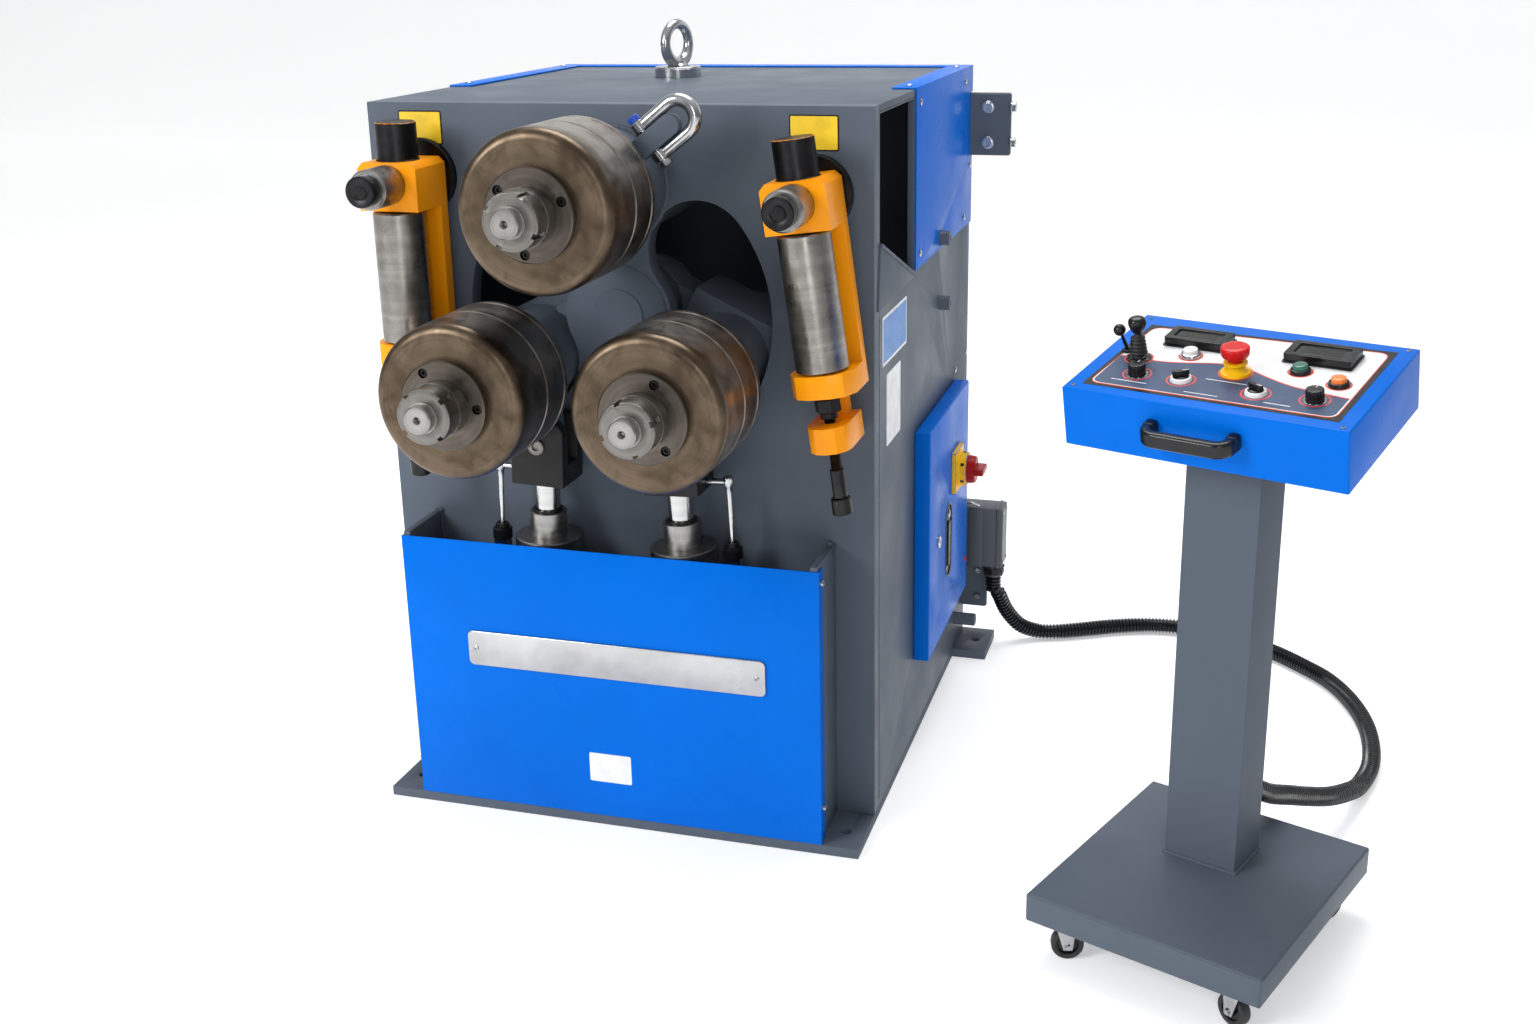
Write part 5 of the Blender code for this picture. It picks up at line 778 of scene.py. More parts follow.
def hub(name, frame_at, body):
    """The shaft's nose with its slotted locknut and bolted washer."""
    washer = lathe(name + "_washer", mm((40, 329.5), (69.5, 329.5), (71.6, 327.5), (71.6, 314), (40, 314)),
            frame_at, 112)
    pockets = []
    for i in range(3):
        angle = math.radians(BOLT_START[name] + 120 * i)
        place = Vector((0.059 * math.cos(angle), 0.059 * math.sin(angle), 0))
        pockets.append(lathe("pocket", disc_profile(0.008, 0.3215, 0.335, 0.0001),
                frame_at @ Matrix.Translation(place), 28))
        placed(lathe("%s_washer_bolt_%d" % (name, i), mm((0, 322.5), (3.2, 322.5), (3.4, 326.2),
                (5.8, 326.2), (6.4, 325.5), (6.4, 321)), frame_at @ Matrix.Translation(place), 24),
                BLACK_STEEL, body, slot="machined_steel")
    boolean(washer, pockets)
    finish_edges(washer, 30)
    placed(washer, WASHER, body)
    nut = lathe(name + "_locknut", mm((22.5, 389.5), (24, 391), (42.5, 391), (44, 389.5), (44, 329),
            (22.5, 329)), frame_at, 112)
    slots = []
    for i in range(4):
        turn = Matrix.Rotation(math.radians(BOLT_START[name] + 40 + 90 * i), 4, "Z")
        slots.append(block("slot", (0.0385, -0.0044, 0.362), (0.052, 0.0044, 0.40), frame_at @ turn, 0.0))
    boolean(nut, slots)
    soften(nut, 0.0006, 2, 30)
    baked(nut)
    finish_edges(nut, 30)
    placed(nut, HUB, body)
    placed(lathe(name + "_lockwasher", mm((22.5, 355.5), (45.2, 355.5), (45.2, 354), (22.5, 354)),
            frame_at, 96), HUB, body)
    placed(lathe(name + "_shaft_nose", mm((0, 403.5), (2.4, 403.5), (3.4, 407.5), (6.2, 411), (20.2, 411),
            (22.2, 409), (22.2, 330)), frame_at, 80), STEEL, body, name + "_shaft")
    placed(lathe(name + "_shaft_ring", mm((22.2, 393.5), (24.6, 393.5), (25.2, 392.5), (25.2, 390.5)),
            frame_at, 80), STEEL, body)
    placed(lathe(name + "_shaft_journal", mm((40, 135), (62, 135), (62, 127.3), (44.5, 126.5),
            (44.5, -190), (0, -190)), frame_at, 64), STEEL, body)


rolls()


# Cylinders, rods and clevises
def cylinder_frame(name):
    side = SIDES[name]
    foot = Vector((side * 0.140, FRONT_Y - 0.060, 0.090))
    along = (Vector((side * 0.118, FRONT_Y - 0.060, 0.690)) - foot).normalized()
    across = Vector((0, 1, 0)).cross(along)
    turn = Matrix((across, Vector((0, 1, 0)), along)).transposed().to_4x4()
    return Matrix.Translation(foot) @ turn


def cylinders():
    for name, side in SIDES.items():
        frame_at = cylinder_frame(name)
        placed(lathe(name + "_barrel", mm((21.5, 475), (30.5, 475), (32, 473.5), (32, 430.5), (56, 430),
                (57.5, 428.5), (57.5, 56), (56, 54), (0, 54)), frame_at, 96), STEEL, name + "_barrel",
                name + "_cylinder")
        placed(slab(name + "_barrel_eye", [(-0.034, 0.062), *arc((0, 0), 0.034, 180, 360, 24),
                (0.034, 0.062)], -0.019, 0.019, frame_at @ XZ, [circle((0, 0), 0.0228)], 0.001), STEEL,
                name + "_barrel")
        placed(ring(name + "_gland_wiper", 0.0215, 0.0262, 0.4745, 0.4785, frame_at), BLACK,
                name + "_barrel")
        at = frame_at @ Matrix.Translation((side * SENSOR_OFFSET, 0, 0))
        placed(lathe(name + "_sensor", mm((6.6, 414), (15.5, 414), (15.5, 60), (0, 60)), at, 40), ZINC,
                name + "_barrel")
        placed(lathe(name + "_sensor_cap", mm((6.4, 439.5), (10.5, 440), (11.8, 438.5), (12, 432.5),
                (15, 432), (17, 430), (17, 413), (16, 412), (6.4, 412)), at, 48), BLACK, name + "_barrel")
        for height in (0.15, 0.35):
            turn = Matrix.Rotation(0.0 if side > 0 else math.pi, 4, "Z")
            placed(block("%s_sensor_clamp_%d" % (name, height * 100), (0.05, -0.008, height),
                    (0.082, 0.008, height + 0.02), frame_at @ turn), ZINC, name + "_barrel")
        placed(lathe(name + "_rod", mm((0, 530), (20, 530), (21, 529), (21, 110), (44.6, 110), (44.6, 85),
                (0, 85)), frame_at, 72), CHROME, name + "_rod", name + "_piston_rod")
        pin = frame_at @ Matrix.Translation((0, 0, CLEVIS_PIN))
        viewer = aim(pin @ Vector((0, -0.0425, 0)), (0, -1, 0))
        placed(lathe(name + "_pin_head", mm((0, 1.2), (5.8, 1.2), (6.4, 5), (12.5, 5), (14.5, 3.6),
                (14.5, -1)), viewer, 48), HUB, name + "_rod")
        joint = Vector((side * SENSOR_OFFSET, 0, CLEVIS_PIN - 0.054))
        placed(bar(name + "_sensor_link", frame_at @ Vector((side * 0.044, 0, joint.z)),
                frame_at @ Vector((side * 0.083, 0, joint.z)), 0.0052, 24), ZINC, name + "_rod")
        placed(lathe(name + "_ball_joint", [(0, 0.0095)] + rounded_corner(0.004, 0.0055, 0.0046, 90, 0,
                5) + mm((8.6, -5.5), (6, -9.5), (5, -20), (0, -20)), frame_at @ Matrix.Translation(joint),
                32), ZINC, name + "_rod")
        placed(bar(name + "_sensor_rod", frame_at @ (joint + Vector((0, 0, -0.3))),
                frame_at @ (joint + Vector((0, 0, -0.012))), 0.0042, 24), CHROME, name + "_rod")


cylinders()


# Lateral guides
GUIDE = {name: Matrix.Translation((side * 0.346, FRONT_Y, z)) @ Matrix.Rotation(math.radians(tilt), 4, "Y")
         for name, side, z, tilt in (("left", -1, 1.128, 0.0), ("right", 1, 1.1125, -7.5))}


def guides():
    for name, side in SIDES.items():
        bracket = name + "_bracket"
        frame_at = GUIDE[name]
        viewer = aim(frame_at @ Vector((0, 0, 0)), (0, -1, 0))
        placed(lathe(name + "_post_disc", mm((24, 12), (61.5, 12), (64, 9.5), (64, 0.3)), viewer, 80),
                BLACK_STEEL, "root", name + "_guide_post")
        placed(lathe(name + "_post_shaft", mm((23.8, 122), (23.8, -45), (0, -45)), viewer, 48), STEEL)
        placed(lathe(name + "_post_sleeve", mm((26.2, 186), (31.2, 186), (33, 184.5), (33, 122.5),
                (26.2, 122.5)), viewer, 80), ROLLER)
        placed(lathe(name + "_post_ring", mm((24.5, 188.5), (30, 188.5), (31.8, 186.5), (31.8, 184)),
                viewer, 80), STEEL)
        placed(lathe(name + "_post_cap", mm((0, 208.5), (10.5, 208.5), (12.5, 210), (15, 211.5),
                (23.5, 211.5), (25.5, 209.5), (25.5, 186)), viewer, 64), BLACK_STEEL)
        middle = frame_at @ Matrix.Translation((0, -0.092, 0))
        placed(lathe(name + "_roller", mm((14.5, -47), (40.5, -47), (42.5, -49), (42.5, -263),
                (40.5, -265), (14.5, -265)), middle, 96), ROLLER, name + "_idler", name + "_guide_roller")
        placed(lathe(name + "_axle_head", mm((0, 98.8), (31, 98.8), (33.8, 96.2), (33.8, 35)),
                frame_at @ Matrix.Translation((0, -0.08, 0)), 72), BLACK_STEEL, bracket,
                name + "_guide_screw")
        placed(ring(name + "_axle_washer", 0.03, 0.0358, 0.035, 0.0378,
                frame_at @ Matrix.Translation((0, -0.08, 0))), BLACK_STEEL, bracket)
        placed(lathe(name + "_axle", disc_profile(0.014, -0.345, -0.04, 0.001), middle, 40), BLACK_STEEL,
                bracket)
        for low, high in ((-0.3350, -0.3110), (-0.3100, -0.3055)):
            placed(lathe("%s_axle_nut_%d" % (name, -1000 * low), [(0.014, high), (0.019, high),
                    (0.0212, high - 0.0022), (0.0212, low + 0.0022), (0.019, low), (0.014, low)], middle,
                    6, angle=20), BLACK_STEEL, bracket)
        placed(threaded(name + "_screw_thread", middle, 0.009, -0.48, -0.335), BLACK_STEEL, bracket)
        socket_head(name + "_screw_head", middle, bracket)


def threaded(name, matrix, radius, low, high, pitch=0.0022):
    """A bar with thread-like grooves."""
    count = round((high - low) / pitch)
    profile = [(0, high)]
    for i in range(count):
        z = high - i * pitch
        profile += [(radius * 0.90, z), (radius, z - pitch / 2)]
    profile += [(radius * 0.9, low), (0, low)]
    return lathe(name, profile, matrix, 28)


def socket_head(name, matrix, body):
    """A cylinder head screw's head with a hex socket, opening downwards."""
    low, high = -0.506, -0.478
    profile = [(0, low + 0.012), (0.0078, low + 0.012), (0.0086, low), (0.015, low),
            (0.0165, low + 0.0015), (0.0165, high - 0.002), (0.015, high), (0, high)]
    placed(lathe(name, profile, matrix, 56), BLACK_STEEL, body)
    placed(lathe(name + "_collar", disc_profile(0.0117, -0.478, -0.43, 0.001), matrix, 40), BLACK_STEEL,
            body)


guides()


# Lifting eye
def lifting_eye():
    x, y = -0.085, FRONT_Y + 0.570
    base = BODY_HEIGHT + 0.0003
    at = Matrix.Translation((x, y, base))
    profile = [(0, 0.030), (0.0145, 0.030)] + rounded_corner(0.0225, 0.030, 0.008, 180, 270, 6)
    profile += mm((43, 18), (45, 16.5), (45, 0), (0, 0))
    placed(lathe("lifting_eye_collar", profile, at, 96), ZINC, "root", "lifting_eye")
    placed(ring("lifting_eye_rim", 0.0375, 0.044, 0.016, 0.0196, at), ZINC)
    radius = 0.037
    middle = base + 0.018 + radius + 0.008
    turn = math.radians(73)
    loop = [Vector((x + radius * math.cos(a) * math.cos(turn), y + radius * math.cos(a) * math.sin(turn),
            middle + radius * math.sin(a))) for a in (2 * math.pi * k / 72 for k in range(72))]

    def wire(i):
        low = 0.5 - 0.5 * math.sin(2 * math.pi * i / 72)
        return 0.0096 + 0.0026 * low ** 3
    body = pipe("lifting_eye_ring", loop, wire, 32, True, up=(-math.sin(turn), math.cos(turn), 0))
    body.data.shade_smooth()
    placed(body, ZINC)


lifting_eye()


# Right side: window gusset, bracket bolts, blank labels and studs
def side_face():
    x = HALF_WIDTH
    placed(slab("window_gusset", [(FRONT_Y + 0.02, 0.92), (FRONT_Y + 0.308, 0.9255),
            (FRONT_Y + 0.036, 1.026)], x - 0.004, x + 0.003, YZ, (), 0.001), GREY)
    edge = dense([(x + 0.003, FRONT_Y + 0.036, 1.027), (x + 0.003, FRONT_Y + 0.308, 0.927)], 0.004)
    placed(weld("window_gusset_weld", edge, 0.0034), GREY)
    seam = dense([(x - 0.0005, PLATE_BACK + 0.0005, 0.03), (x - 0.0005, PLATE_BACK + 0.0005, 0.905)], 0.004)
    placed(weld("front_corner_weld", seam, 0.0014), GREY)
    for index, (y0, y1, z0, z1, material) in enumerate(((0.058, 0.244, 0.818, 0.902, LABEL_BLUE),
                                                        (0.089, 0.196, 0.672, 0.798, LABEL_WHITE))):
        placed(slab("side_label_%d" % index, rounded((FRONT_Y + y0, z0), (FRONT_Y + y1, z1), 0.004, 4), x,
                x + 0.0007, YZ, (), 0.0), LABEL_WHITE)
        placed(slab("side_label_face_%d" % index, rounded((FRONT_Y + y0 + 0.005, z0 + 0.005),
                (FRONT_Y + y1 - 0.005, z1 - 0.005), 0.003, 4), x, x + 0.0009, YZ, (), 0.0), material)
    for index, z in enumerate((1.1705, 1.0988)):
        for reach, name in ((0.481, "inner"), (0.516, "outer")):
            if name == "inner":
                at, axis = (reach, bracket_face(), z), (0, -1, 0)
            else:
                at, axis = (0.5275, bracket_face() + 0.007, z), (1, 0, 0)
            placed(ring("bracket_washer_%s_%d" % (name, index), 0.002, 0.0125, 0.0, 0.0018, aim(at, axis),
                    40), ZINC)
            screw("bracket_bolt_%s_%d" % (name, index), at, axis, 0.0098, kind="cap", height=0.01)
    for index, (y, z) in enumerate(((0.533, 0.955), (0.545, 0.827))):
        placed(ring("stud_bore_%d" % index, 0.006, 0.0132, 0.0, 0.0006,
                aim((x + 0.022, FRONT_Y + y, z), (1, 0, 0)), 36), GREY)
        # The near-black disc inside each bore is painted shade for the hole's depth, not a dark thread.
        placed(ring("stud_hole_shade_%d" % index, 0.0001, 0.0062, -0.001, 0.0004,
                aim((x + 0.022, FRONT_Y + y, z), (1, 0, 0)), 24), HOLE_SHADE)
    placed(bar("floor_stub", (x - 0.004, FRONT_Y + 0.758, 0.083), (x + 0.046, FRONT_Y + 0.758, 0.083),
            0.0135, 40, 0.002), GREY)
    screw("low_side_bolt", (x, FRONT_Y + 0.758, 0.132), (1, 0, 0), 0.006, BLACK_STEEL)
    for index, (y, z) in enumerate(((0.857, 0.659), (0.721, 0.650))):
        screw("upper_side_bolt_%d" % index, (x, FRONT_Y + min(y, 0.84), z), (1, 0, 0), 0.006)
    for index, z in enumerate((0.165, 0.105)):
        screw("low_bracket_bolt_%d" % index, (0.478, bracket_face(), z), (0, -1, 0), 0.006, kind="cap",
                height=0.006)


def bracket_face():
    return REAR_Y - 0.005 - 0.0008 - 0.014


def hood_screws():
    x = HALF_WIDTH + 0.0032
    for word, side in SIDES.items():
        for index, (y, z) in enumerate(((0.338, 1.2262), (0.338, 0.9600), (0.775, 0.9560), (0.835, 1.0550),
                                        (0.775, 1.2262))):
            screw("hood_screw_%s_%d" % (word, index), (side * x, FRONT_Y + y, z), (side, 0, 0), 0.0062)
        for index, y in enumerate((0.345, 0.790)):
            screw("roof_screw_%s_%d" % (word, index), (side * (HALF_WIDTH - 0.018), FRONT_Y + y,
                    BODY_HEIGHT + 0.0032), (0, 0, 1), 0.0055)
    for index, z in enumerate((0.10, 0.35, 0.62, 0.88, 1.14)):
        for word, side in SIDES.items():
            screw("rear_screw_%s_%d" % (word, index), (side * 0.422, REAR_Y, z), (0, 1, 0), 0.006)


def rear_lining():
    """The rear panel's unpainted, shaded inner face, seen through the openings."""
    placed(block("rear_inner_face", (-0.4295, REAR_Y - 0.0062, 0.02), (0.4295, REAR_Y - 0.0051, 1.236),
            bevel=0.0), GREY, slot="dark_housing")


def rear_vents():
    """Louvres punched in the rear panel."""
    for row in range(7):
        z = 0.40 + row * 0.030
        for word, side in SIDES.items():
            path = [(side * 0.19 + i * 0.012, REAR_Y - 0.0008, z) for i in range(-6, 7)]
            placed(sweep("louvre_%s_%d" % (word, row), path, lambda i: [(0.0, 0.0), (0.0, 0.012),
                    (-0.0055 * max(0.05, 1 - (abs(i - 6) / 6) ** 6), 0.002)], up=(0, 0, 1)), BLUE)


# Front cover: screws, a blank plate and a plain white plate
def cover_details():
    for word, side in SIDES.items():
        for index, z in enumerate((0.4935, 0.0835)):
            screw("cover_screw_%s_%d" % (word, index), (side * 0.3781, COVER_FRONT + 0.013, z),
                    (side, 0, 0), 0.0058, kind="cap", height=0.0055)
    placed(slab("cover_blank_plate", rounded((-0.262, 0.285), (0.285, 0.35), 0.01, 6), 0.0, 0.004,
            XZ @ Matrix.Translation((0, 0, -COVER_FRONT)), (), 0.0016, 3), PLATE)
    for index, x in enumerate((-0.247, 0.270)):
        screw("cover_plate_rivet_%d" % index, (x, COVER_FRONT - 0.004, 0.3175), (0, -1, 0), 0.0045,
                height=0.0022)
    placed(slab("cover_white_label", rounded((-0.0435, 0.085), (0.0345, 0.1395), 0.003, 4), 0.0, 0.0006,
            XZ @ Matrix.Translation((0, 0, -COVER_FRONT)), (), 0.0), LABEL_WHITE)


def front_stickers():
    for name, x0, x1 in (("left", -0.384, -0.304), ("right", 0.305, 0.386)):
        at = XZ @ Matrix.Translation((0, 0, -FRONT_Y))
        placed(slab("front_sticker_" + name, rounded((x0, 1.18), (x1, 1.2365), 0.003, 4), 0.0, 0.0005, at,
                (), 0.0), BLACK)
        placed(slab("front_sticker_face_" + name, rounded((x0 + 0.0022, 1.1822), (x1 - 0.0022, 1.2343),
                0.002, 4), 0.0, 0.0007, at, (), 0.0), LABEL_YELLOW)


# Cabinet door, its lock and handle, the main switch
def door_details():
    x = DOOR_FACE
    y, z = SWITCH
    placed(block("switch_base", (x - 0.0005, y - 0.0429, z - 0.0429), (x + 0.0096, y + 0.0429, z + 0.0429),
            bevel=0.003, segments=3), YELLOW, "door")
    at = aim((x, y, z), (1, 0, 0))
    placed(lathe("switch_collar", mm((8, 26.2), (32.5, 26.2), (34.5, 24.5), (34.5, 15), (37.5, 13),
            (37.5, 8)), at, 72), YELLOW, "door")
    # The small black blocks on the yellow collar are painted shade for its notches.
    for index in range(3):
        angle = math.radians(30 + 60 * index)
        for side in (-1, 1):
            turn = angle + (math.pi if side < 0 else 0)
            c = Vector((0.0345 * side * math.cos(angle), 0.0345 * side * math.sin(angle), 0.0195))
            placed(block("switch_notch_shade_%s_%d" % ("a" if side < 0 else "b", index),
                    (-0.0015, -0.003, -0.0035), (0.0006, 0.003, 0.0035),
                    at @ Matrix.Translation(c) @ Matrix.Rotation(turn, 4, "Z"), 0.0004), BLACK, "door")
    knob_at = aim((x + 0.0266, y, z), (1, 0, 0))
    placed(lathe("switch_knob_body", mm((0, 16.5), (24.5, 16.5), (27, 14), (28, 4), (28, 0.4), (0, 0.4)),
            knob_at, 64), DARK_RED, "switch_knob", "main_switch")
    placed(slab("switch_knob_grip", mm((-26.5, -6), (-18, -6.8), (18, -6.8), (26.5, -6), (26.5, 6),
            (18, 6.8), (-18, 6.8), (-26.5, 6)), 0.01, 0.0336, knob_at, (), 0.0022, 3), DARK_RED,
            "switch_knob")
    lock_at = aim((x, FRONT_Y + 0.404, 0.389), (1, 0, 0))
    placed(lathe("door_lock", mm((0, 2), (5.2, 2), (6, 4.5), (10.8, 4.5), (12, 3), (12, 0)), lock_at, 48),
            ZINC, "door")
    # The black slab on the lock's face is painted shade for the depth of the key slot.
    placed(slab("door_lock_slot_shade", rounded((-0.0045, -0.001), (0.0045, 0.001), 0.0008, 3), 0.0015, 0.0024,
            lock_at), BLACK, "door")
    placed(slab("door_handle_recess", rounded((FRONT_Y + 0.4835, 0.2805), (FRONT_Y + 0.5395, 0.4295),
            0.0255, 8), x - 0.0022, x - 0.0012, YZ, (), 0.0), BLACK, "door")
    outer = rounded((FRONT_Y + 0.4815, 0.2785), (FRONT_Y + 0.5415, 0.4315), 0.0275, 10)
    inner = rounded((FRONT_Y + 0.4855, 0.2825), (FRONT_Y + 0.5375, 0.4275), 0.0235, 10)
    placed(slab("door_handle_frame", outer, x - 0.001, x + 0.0012, YZ, [inner], 0.0004), BLACK, "door")
    placed(slab("door_handle_lever", rounded((FRONT_Y + 0.5, 0.3), (FRONT_Y + 0.523, 0.395), 0.009, 6),
            x - 0.0013, x + 0.003, YZ, (), 0.0015, 3), BLACK, "door")
    placed(lathe("door_handle_lock", mm((0, 4), (7, 4), (8.5, 2.5), (8.5, 0)),
            aim((x - 0.0013, FRONT_Y + 0.5115, 0.41), (1, 0, 0)), 36), ZINC, "door")
    screw("door_corner_screw", (x, FRONT_Y + 0.7, 0.245), (1, 0, 0), 0.005, RED, body="door")


# Supply connector: ribs, lid screws, locking lever and gland
def connector_details():
    y0, y1, z0, z1 = FRONT_Y + 0.800, FRONT_Y + 0.862, 0.190, 0.325
    x0, x1 = HALF_WIDTH + 0.0003, HALF_WIDTH + 0.0943
    placed(slab("connector_lid", rounded((y0 - 0.0015, z0 - 0.0015), (y1 + 0.0015, z1 + 0.0015), 0.005, 5),
            x1 - 0.014, x1 - 0.009, YZ, (), 0.0012), HOUSING)
    placed(slab("connector_flange", rounded((y0 - 0.004, z0 - 0.004), (y1 + 0.001, z1 + 0.004), 0.004, 4),
            x0, x0 + 0.006, YZ, (), 0.0012), HOUSING)
    placed(block("connector_hood", (x0 + 0.02, y0 - 0.001, z0 - 0.0012),
            (x0 + 0.05, y0 + 0.03, z1 + 0.0014), bevel=0.0025, segments=3), HOUSING)
    lever = [(x0 + 0.006, y0 - 0.003, z1 + 0.003), (x0 + 0.01, y0 - 0.004, z1 + 0.011),
            (x0 + 0.028, y0 - 0.004, z1 + 0.012), (x0 + 0.044, y0 - 0.003, z1 + 0.006)]
    placed(pipe("connector_lever", dense(lever, 0.003), 0.0022, 12), ZINC)
    placed(bar("connector_lever_pin", (x0 + 0.006, y0 - 0.004, z1 + 0.004),
            (x0 + 0.006, y0 + 0.045, z1 + 0.004), 0.004, 24), ZINC)
    lid_screws = [(y, z) for y in (y0 + 0.010, y1 - 0.010) for z in (z0 + 0.011, z1 - 0.011)]
    for index, (y, z) in enumerate(lid_screws):
        screw("connector_screw_%d" % index, (x1, y, z), (1, 0, 0), 0.0038, height=0.0018)
    gx, gy = HALF_WIDTH + 0.0723, FRONT_Y + 0.831
    gland(Vector((gx, gy, 0.190)), Vector((0, 0, -1)), "connector_gland")


def gland(start, axis, name):
    """A cable gland's hexagon and its ribbed clamping nut, from the wall along the cable."""
    at = aim(start, axis)
    placed(lathe(name + "_hex", mm((17, 8), (22, 8), (23.8, 6.5), (23.8, 1.5), (22, 0), (17, 0)), at, 6,
            angle=20), BLACK)
    profile = mm((17.2, 26), (18.6, 26.5), (21.3, 21.5), (21.8, 8), (17, 8))
    placed(lathe(name + "_nut", profile, at, 48), BLACK)
    for k in range(12):
        angle = 2 * math.pi * k / 12
        placed(block("%s_rib_%02d" % (name, k), (0.0208, -0.0012, 0.0095), (0.0225, 0.0012, 0.0205),
                at @ Matrix.Rotation(angle, 4, "Z"), 0.0004, 1), BLACK)


side_face()
hood_screws()
rear_lining()
rear_vents()
cover_details()
front_stickers()
door_details()
connector_details()


# Clevises
def clevises():
    for name in SIDES:
        at = cylinder_frame(name)
        height, half, corner = CLEVIS_PIN, 0.0475, 0.024
        top = height + 0.045
        outline = [(-half, height - 0.070), (half, height - 0.070)]
        outline += arc((half - corner, top - corner), corner, 0, 90, 12)
        outline += arc((corner - half, top - corner), corner, 90, 180, 12)
        body = slab(name + "_clevis_block", outline, -0.0425, 0.0425, at @ XZ, (), 0.0)
        slot = block("slot", (-0.1, -0.019, height - 0.034), (0.1, 0.019, top + 0.05), at, 0.0)
        boolean(body, [slot])
        soften(body, 0.0016, 3, 30)
        baked(body)
        finish_edges(body, 30)
        placed(body, BLACK_BOX, name + "_rod", name + "_clevis")
        placed(bar(name + "_clevis_pin", at @ Vector((0, -0.04, height)), at @ Vector((0, 0.044, height)),
                0.012, 40), STEEL, name + "_rod")


clevises()


# Console stand and castors
def console_stand():
    x, y = -0.012, 0.064
    half_w, half_d = 0.1145 / 2 + 0.0012, 0.0946 / 2 + 0.0012
    corners = [(x - half_w, y - half_d), (x + half_w, y - half_d), (x + half_w, y + half_d),
            (x - half_w, y + half_d), (x - half_w, y - half_d)]
    loop = dense([CONSOLE @ Vector((a, b, 0.1150)) for a, b in corners], 0.0035)[:-1]
    placed(weld("column_weld", loop, 0.0036, True), GREY)
    gland(CONSOLE @ Vector((0.008, 0.1113, 0.185)), CONSOLE.to_3x3() @ Vector((0, 1, 0)), "column_gland")
    caster_corners = ((-0.1505, -0.183), (0.1505, -0.183), (0.1505, 0.183), (-0.1505, 0.183))
    for index, ((cx, cy), turn) in enumerate(zip(caster_corners, (35, 160, 250, 300)), 1):
        at = CONSOLE @ Matrix.Translation((cx, cy, 0)) @ Matrix.Rotation(math.radians(turn), 4, "Z")
        wheel_at = at @ Matrix.Translation((0.018, 0, 0.025)) @ Matrix.Rotation(math.radians(-90), 4, "X")
        tyre = mm((17.2, 7.8), (18.5, 8.8), (22.2, 8.8), (24.3, 7.4), (25, 4.5), (25, -4.5), (24.3, -7.4),
                (22.2, -8.8), (18.5, -8.8), (17.2, -7.8))
        placed(lathe("caster_tyre_%d" % index, tyre, wheel_at, 56), RUBBER, "wheel_%d" % index,
                "caster_wheel_%d" % index, slot="wheel_rubber")
        hub_profile = mm((4.6, 8.8), (8, 8.8), (8.8, 5.5), (15, 5), (16, 7.8), (17.4, 7.8), (17.4, -7.8),
                (16, -7.8), (15, -5), (8.8, -5.5), (8, -8.8), (4.6, -8.8))
        placed(lathe("caster_hub_%d" % index, hub_profile, wheel_at, 48), BLACK, "wheel_%d" % index,
                slot="wheel_rubber")
        for side in (-1, 1):
            outwards = wheel_at.to_3x3() @ Vector((0, 0, side))
            axle_at = aim(wheel_at @ Vector((0, 0, side * 0.0136)), outwards)
            placed(lathe("caster_axle_%s_%d" % ("a" if side < 0 else "b", index),
                    mm((0, 3.5), (4, 3.5), (5.2, 2.5), (5.2, 0)), axle_at, 6, angle=20), ZINC,
                    "fork_%d" % index)
        placed(lathe("caster_race_%d" % index, mm((0, 67), (19.5, 67), (20, 65.5), (20, 63.2), (16.5, 60),
                (0, 60)), at, 48), ZINC, "fork_%d" % index)


console_stand()


# Console box with its panel
CONTROL_RINGS = {
    "joystick": (-0.148, -0.015, 0.0215),
    "white": (-0.08, 0.015, 0.018),
    "stop": (0.003, -0.018, 0.0245),
    "green": (0.0846, 0.014, 0.018),
    "orange": (0.1476, -0.009, 0.018),
    "left_knob": (-0.126, -0.066, 0.0215),
    "left_selector": (-0.059, -0.064, 0.0215),
    "right_selector": (0.0547, -0.071, 0.0215),
    "right_knob": (0.135, -0.064, 0.0215),
}


def wave(u):
    """The navy field's upper edge, higher in the middle."""
    return -0.030 + 0.034 * math.exp(-((u + 0.010) / 0.072) ** 2) - 0.016 * (u / 0.18)


def console_box():
    half_w, half_d, thick = 0.2095, 0.139, 0.093
    placed(block("console_housing", (-half_w, -half_d, -thick), (half_w, half_d, 0), PANEL, 0.0022, 3),
            BLUE, "root", "console_box")
    floor = block("console_floor", (-half_w + 0.01, -half_d + 0.01, -thick - 0.0012),
            (half_w - 0.01, half_d - 0.01, -thick + 0.001), PANEL, 0.0006)
    column = block("cut", (-0.0595, -0.0335, -thick - 0.02), (0.0575, 0.0695, -thick + 0.02), PANEL, 0.0)
    boolean(floor, [column])
    placed(floor, GREY)
    for index, (u, v) in enumerate(((-0.197, -0.128), (0.197, -0.128), (0.197, 0.128), (-0.197, 0.128))):
        screw("console_corner_screw_%d" % index, PANEL @ Vector((u, v, 0)),
                PANEL.to_3x3() @ Vector((0, 0, 1)), 0.0034, height=0.0016)
    panel_sheet()


def sheet_piece(name, outline, height, look, holes=()):
    placed(slab(name, outline, 0.0, height, PANEL, holes, 0.0), look)


def outset(points, size):
    """The outline moved outwards, for an outline that runs anticlockwise."""
    made = []
    for before, point, after in zip([points[-1], *points[:-1]], points, [*points[1:], points[0]]):
        heading = (Vector(after) - Vector(before)).normalized()
        made.append((point[0] + heading.y * size, point[1] - heading.x * size))
    return made


def smooth_corners(points, radius, steps=8):
    """Rounds the corners of an anticlockwise outline."""
    made = []
    for before, point, after in zip([points[-1], *points[:-1]], points, [*points[1:], points[0]]):
        corner = Vector(point)
        start = corner + (Vector(before) - corner).normalized() * radius
        end = corner + (Vector(after) - corner).normalized() * radius
        for i in range(steps + 1):
            t = i / steps
            spot = start * (1 - t) ** 2 + corner * 2 * t * (1 - t) + end * t * t
            made.append((spot.x, spot.y))
    return made


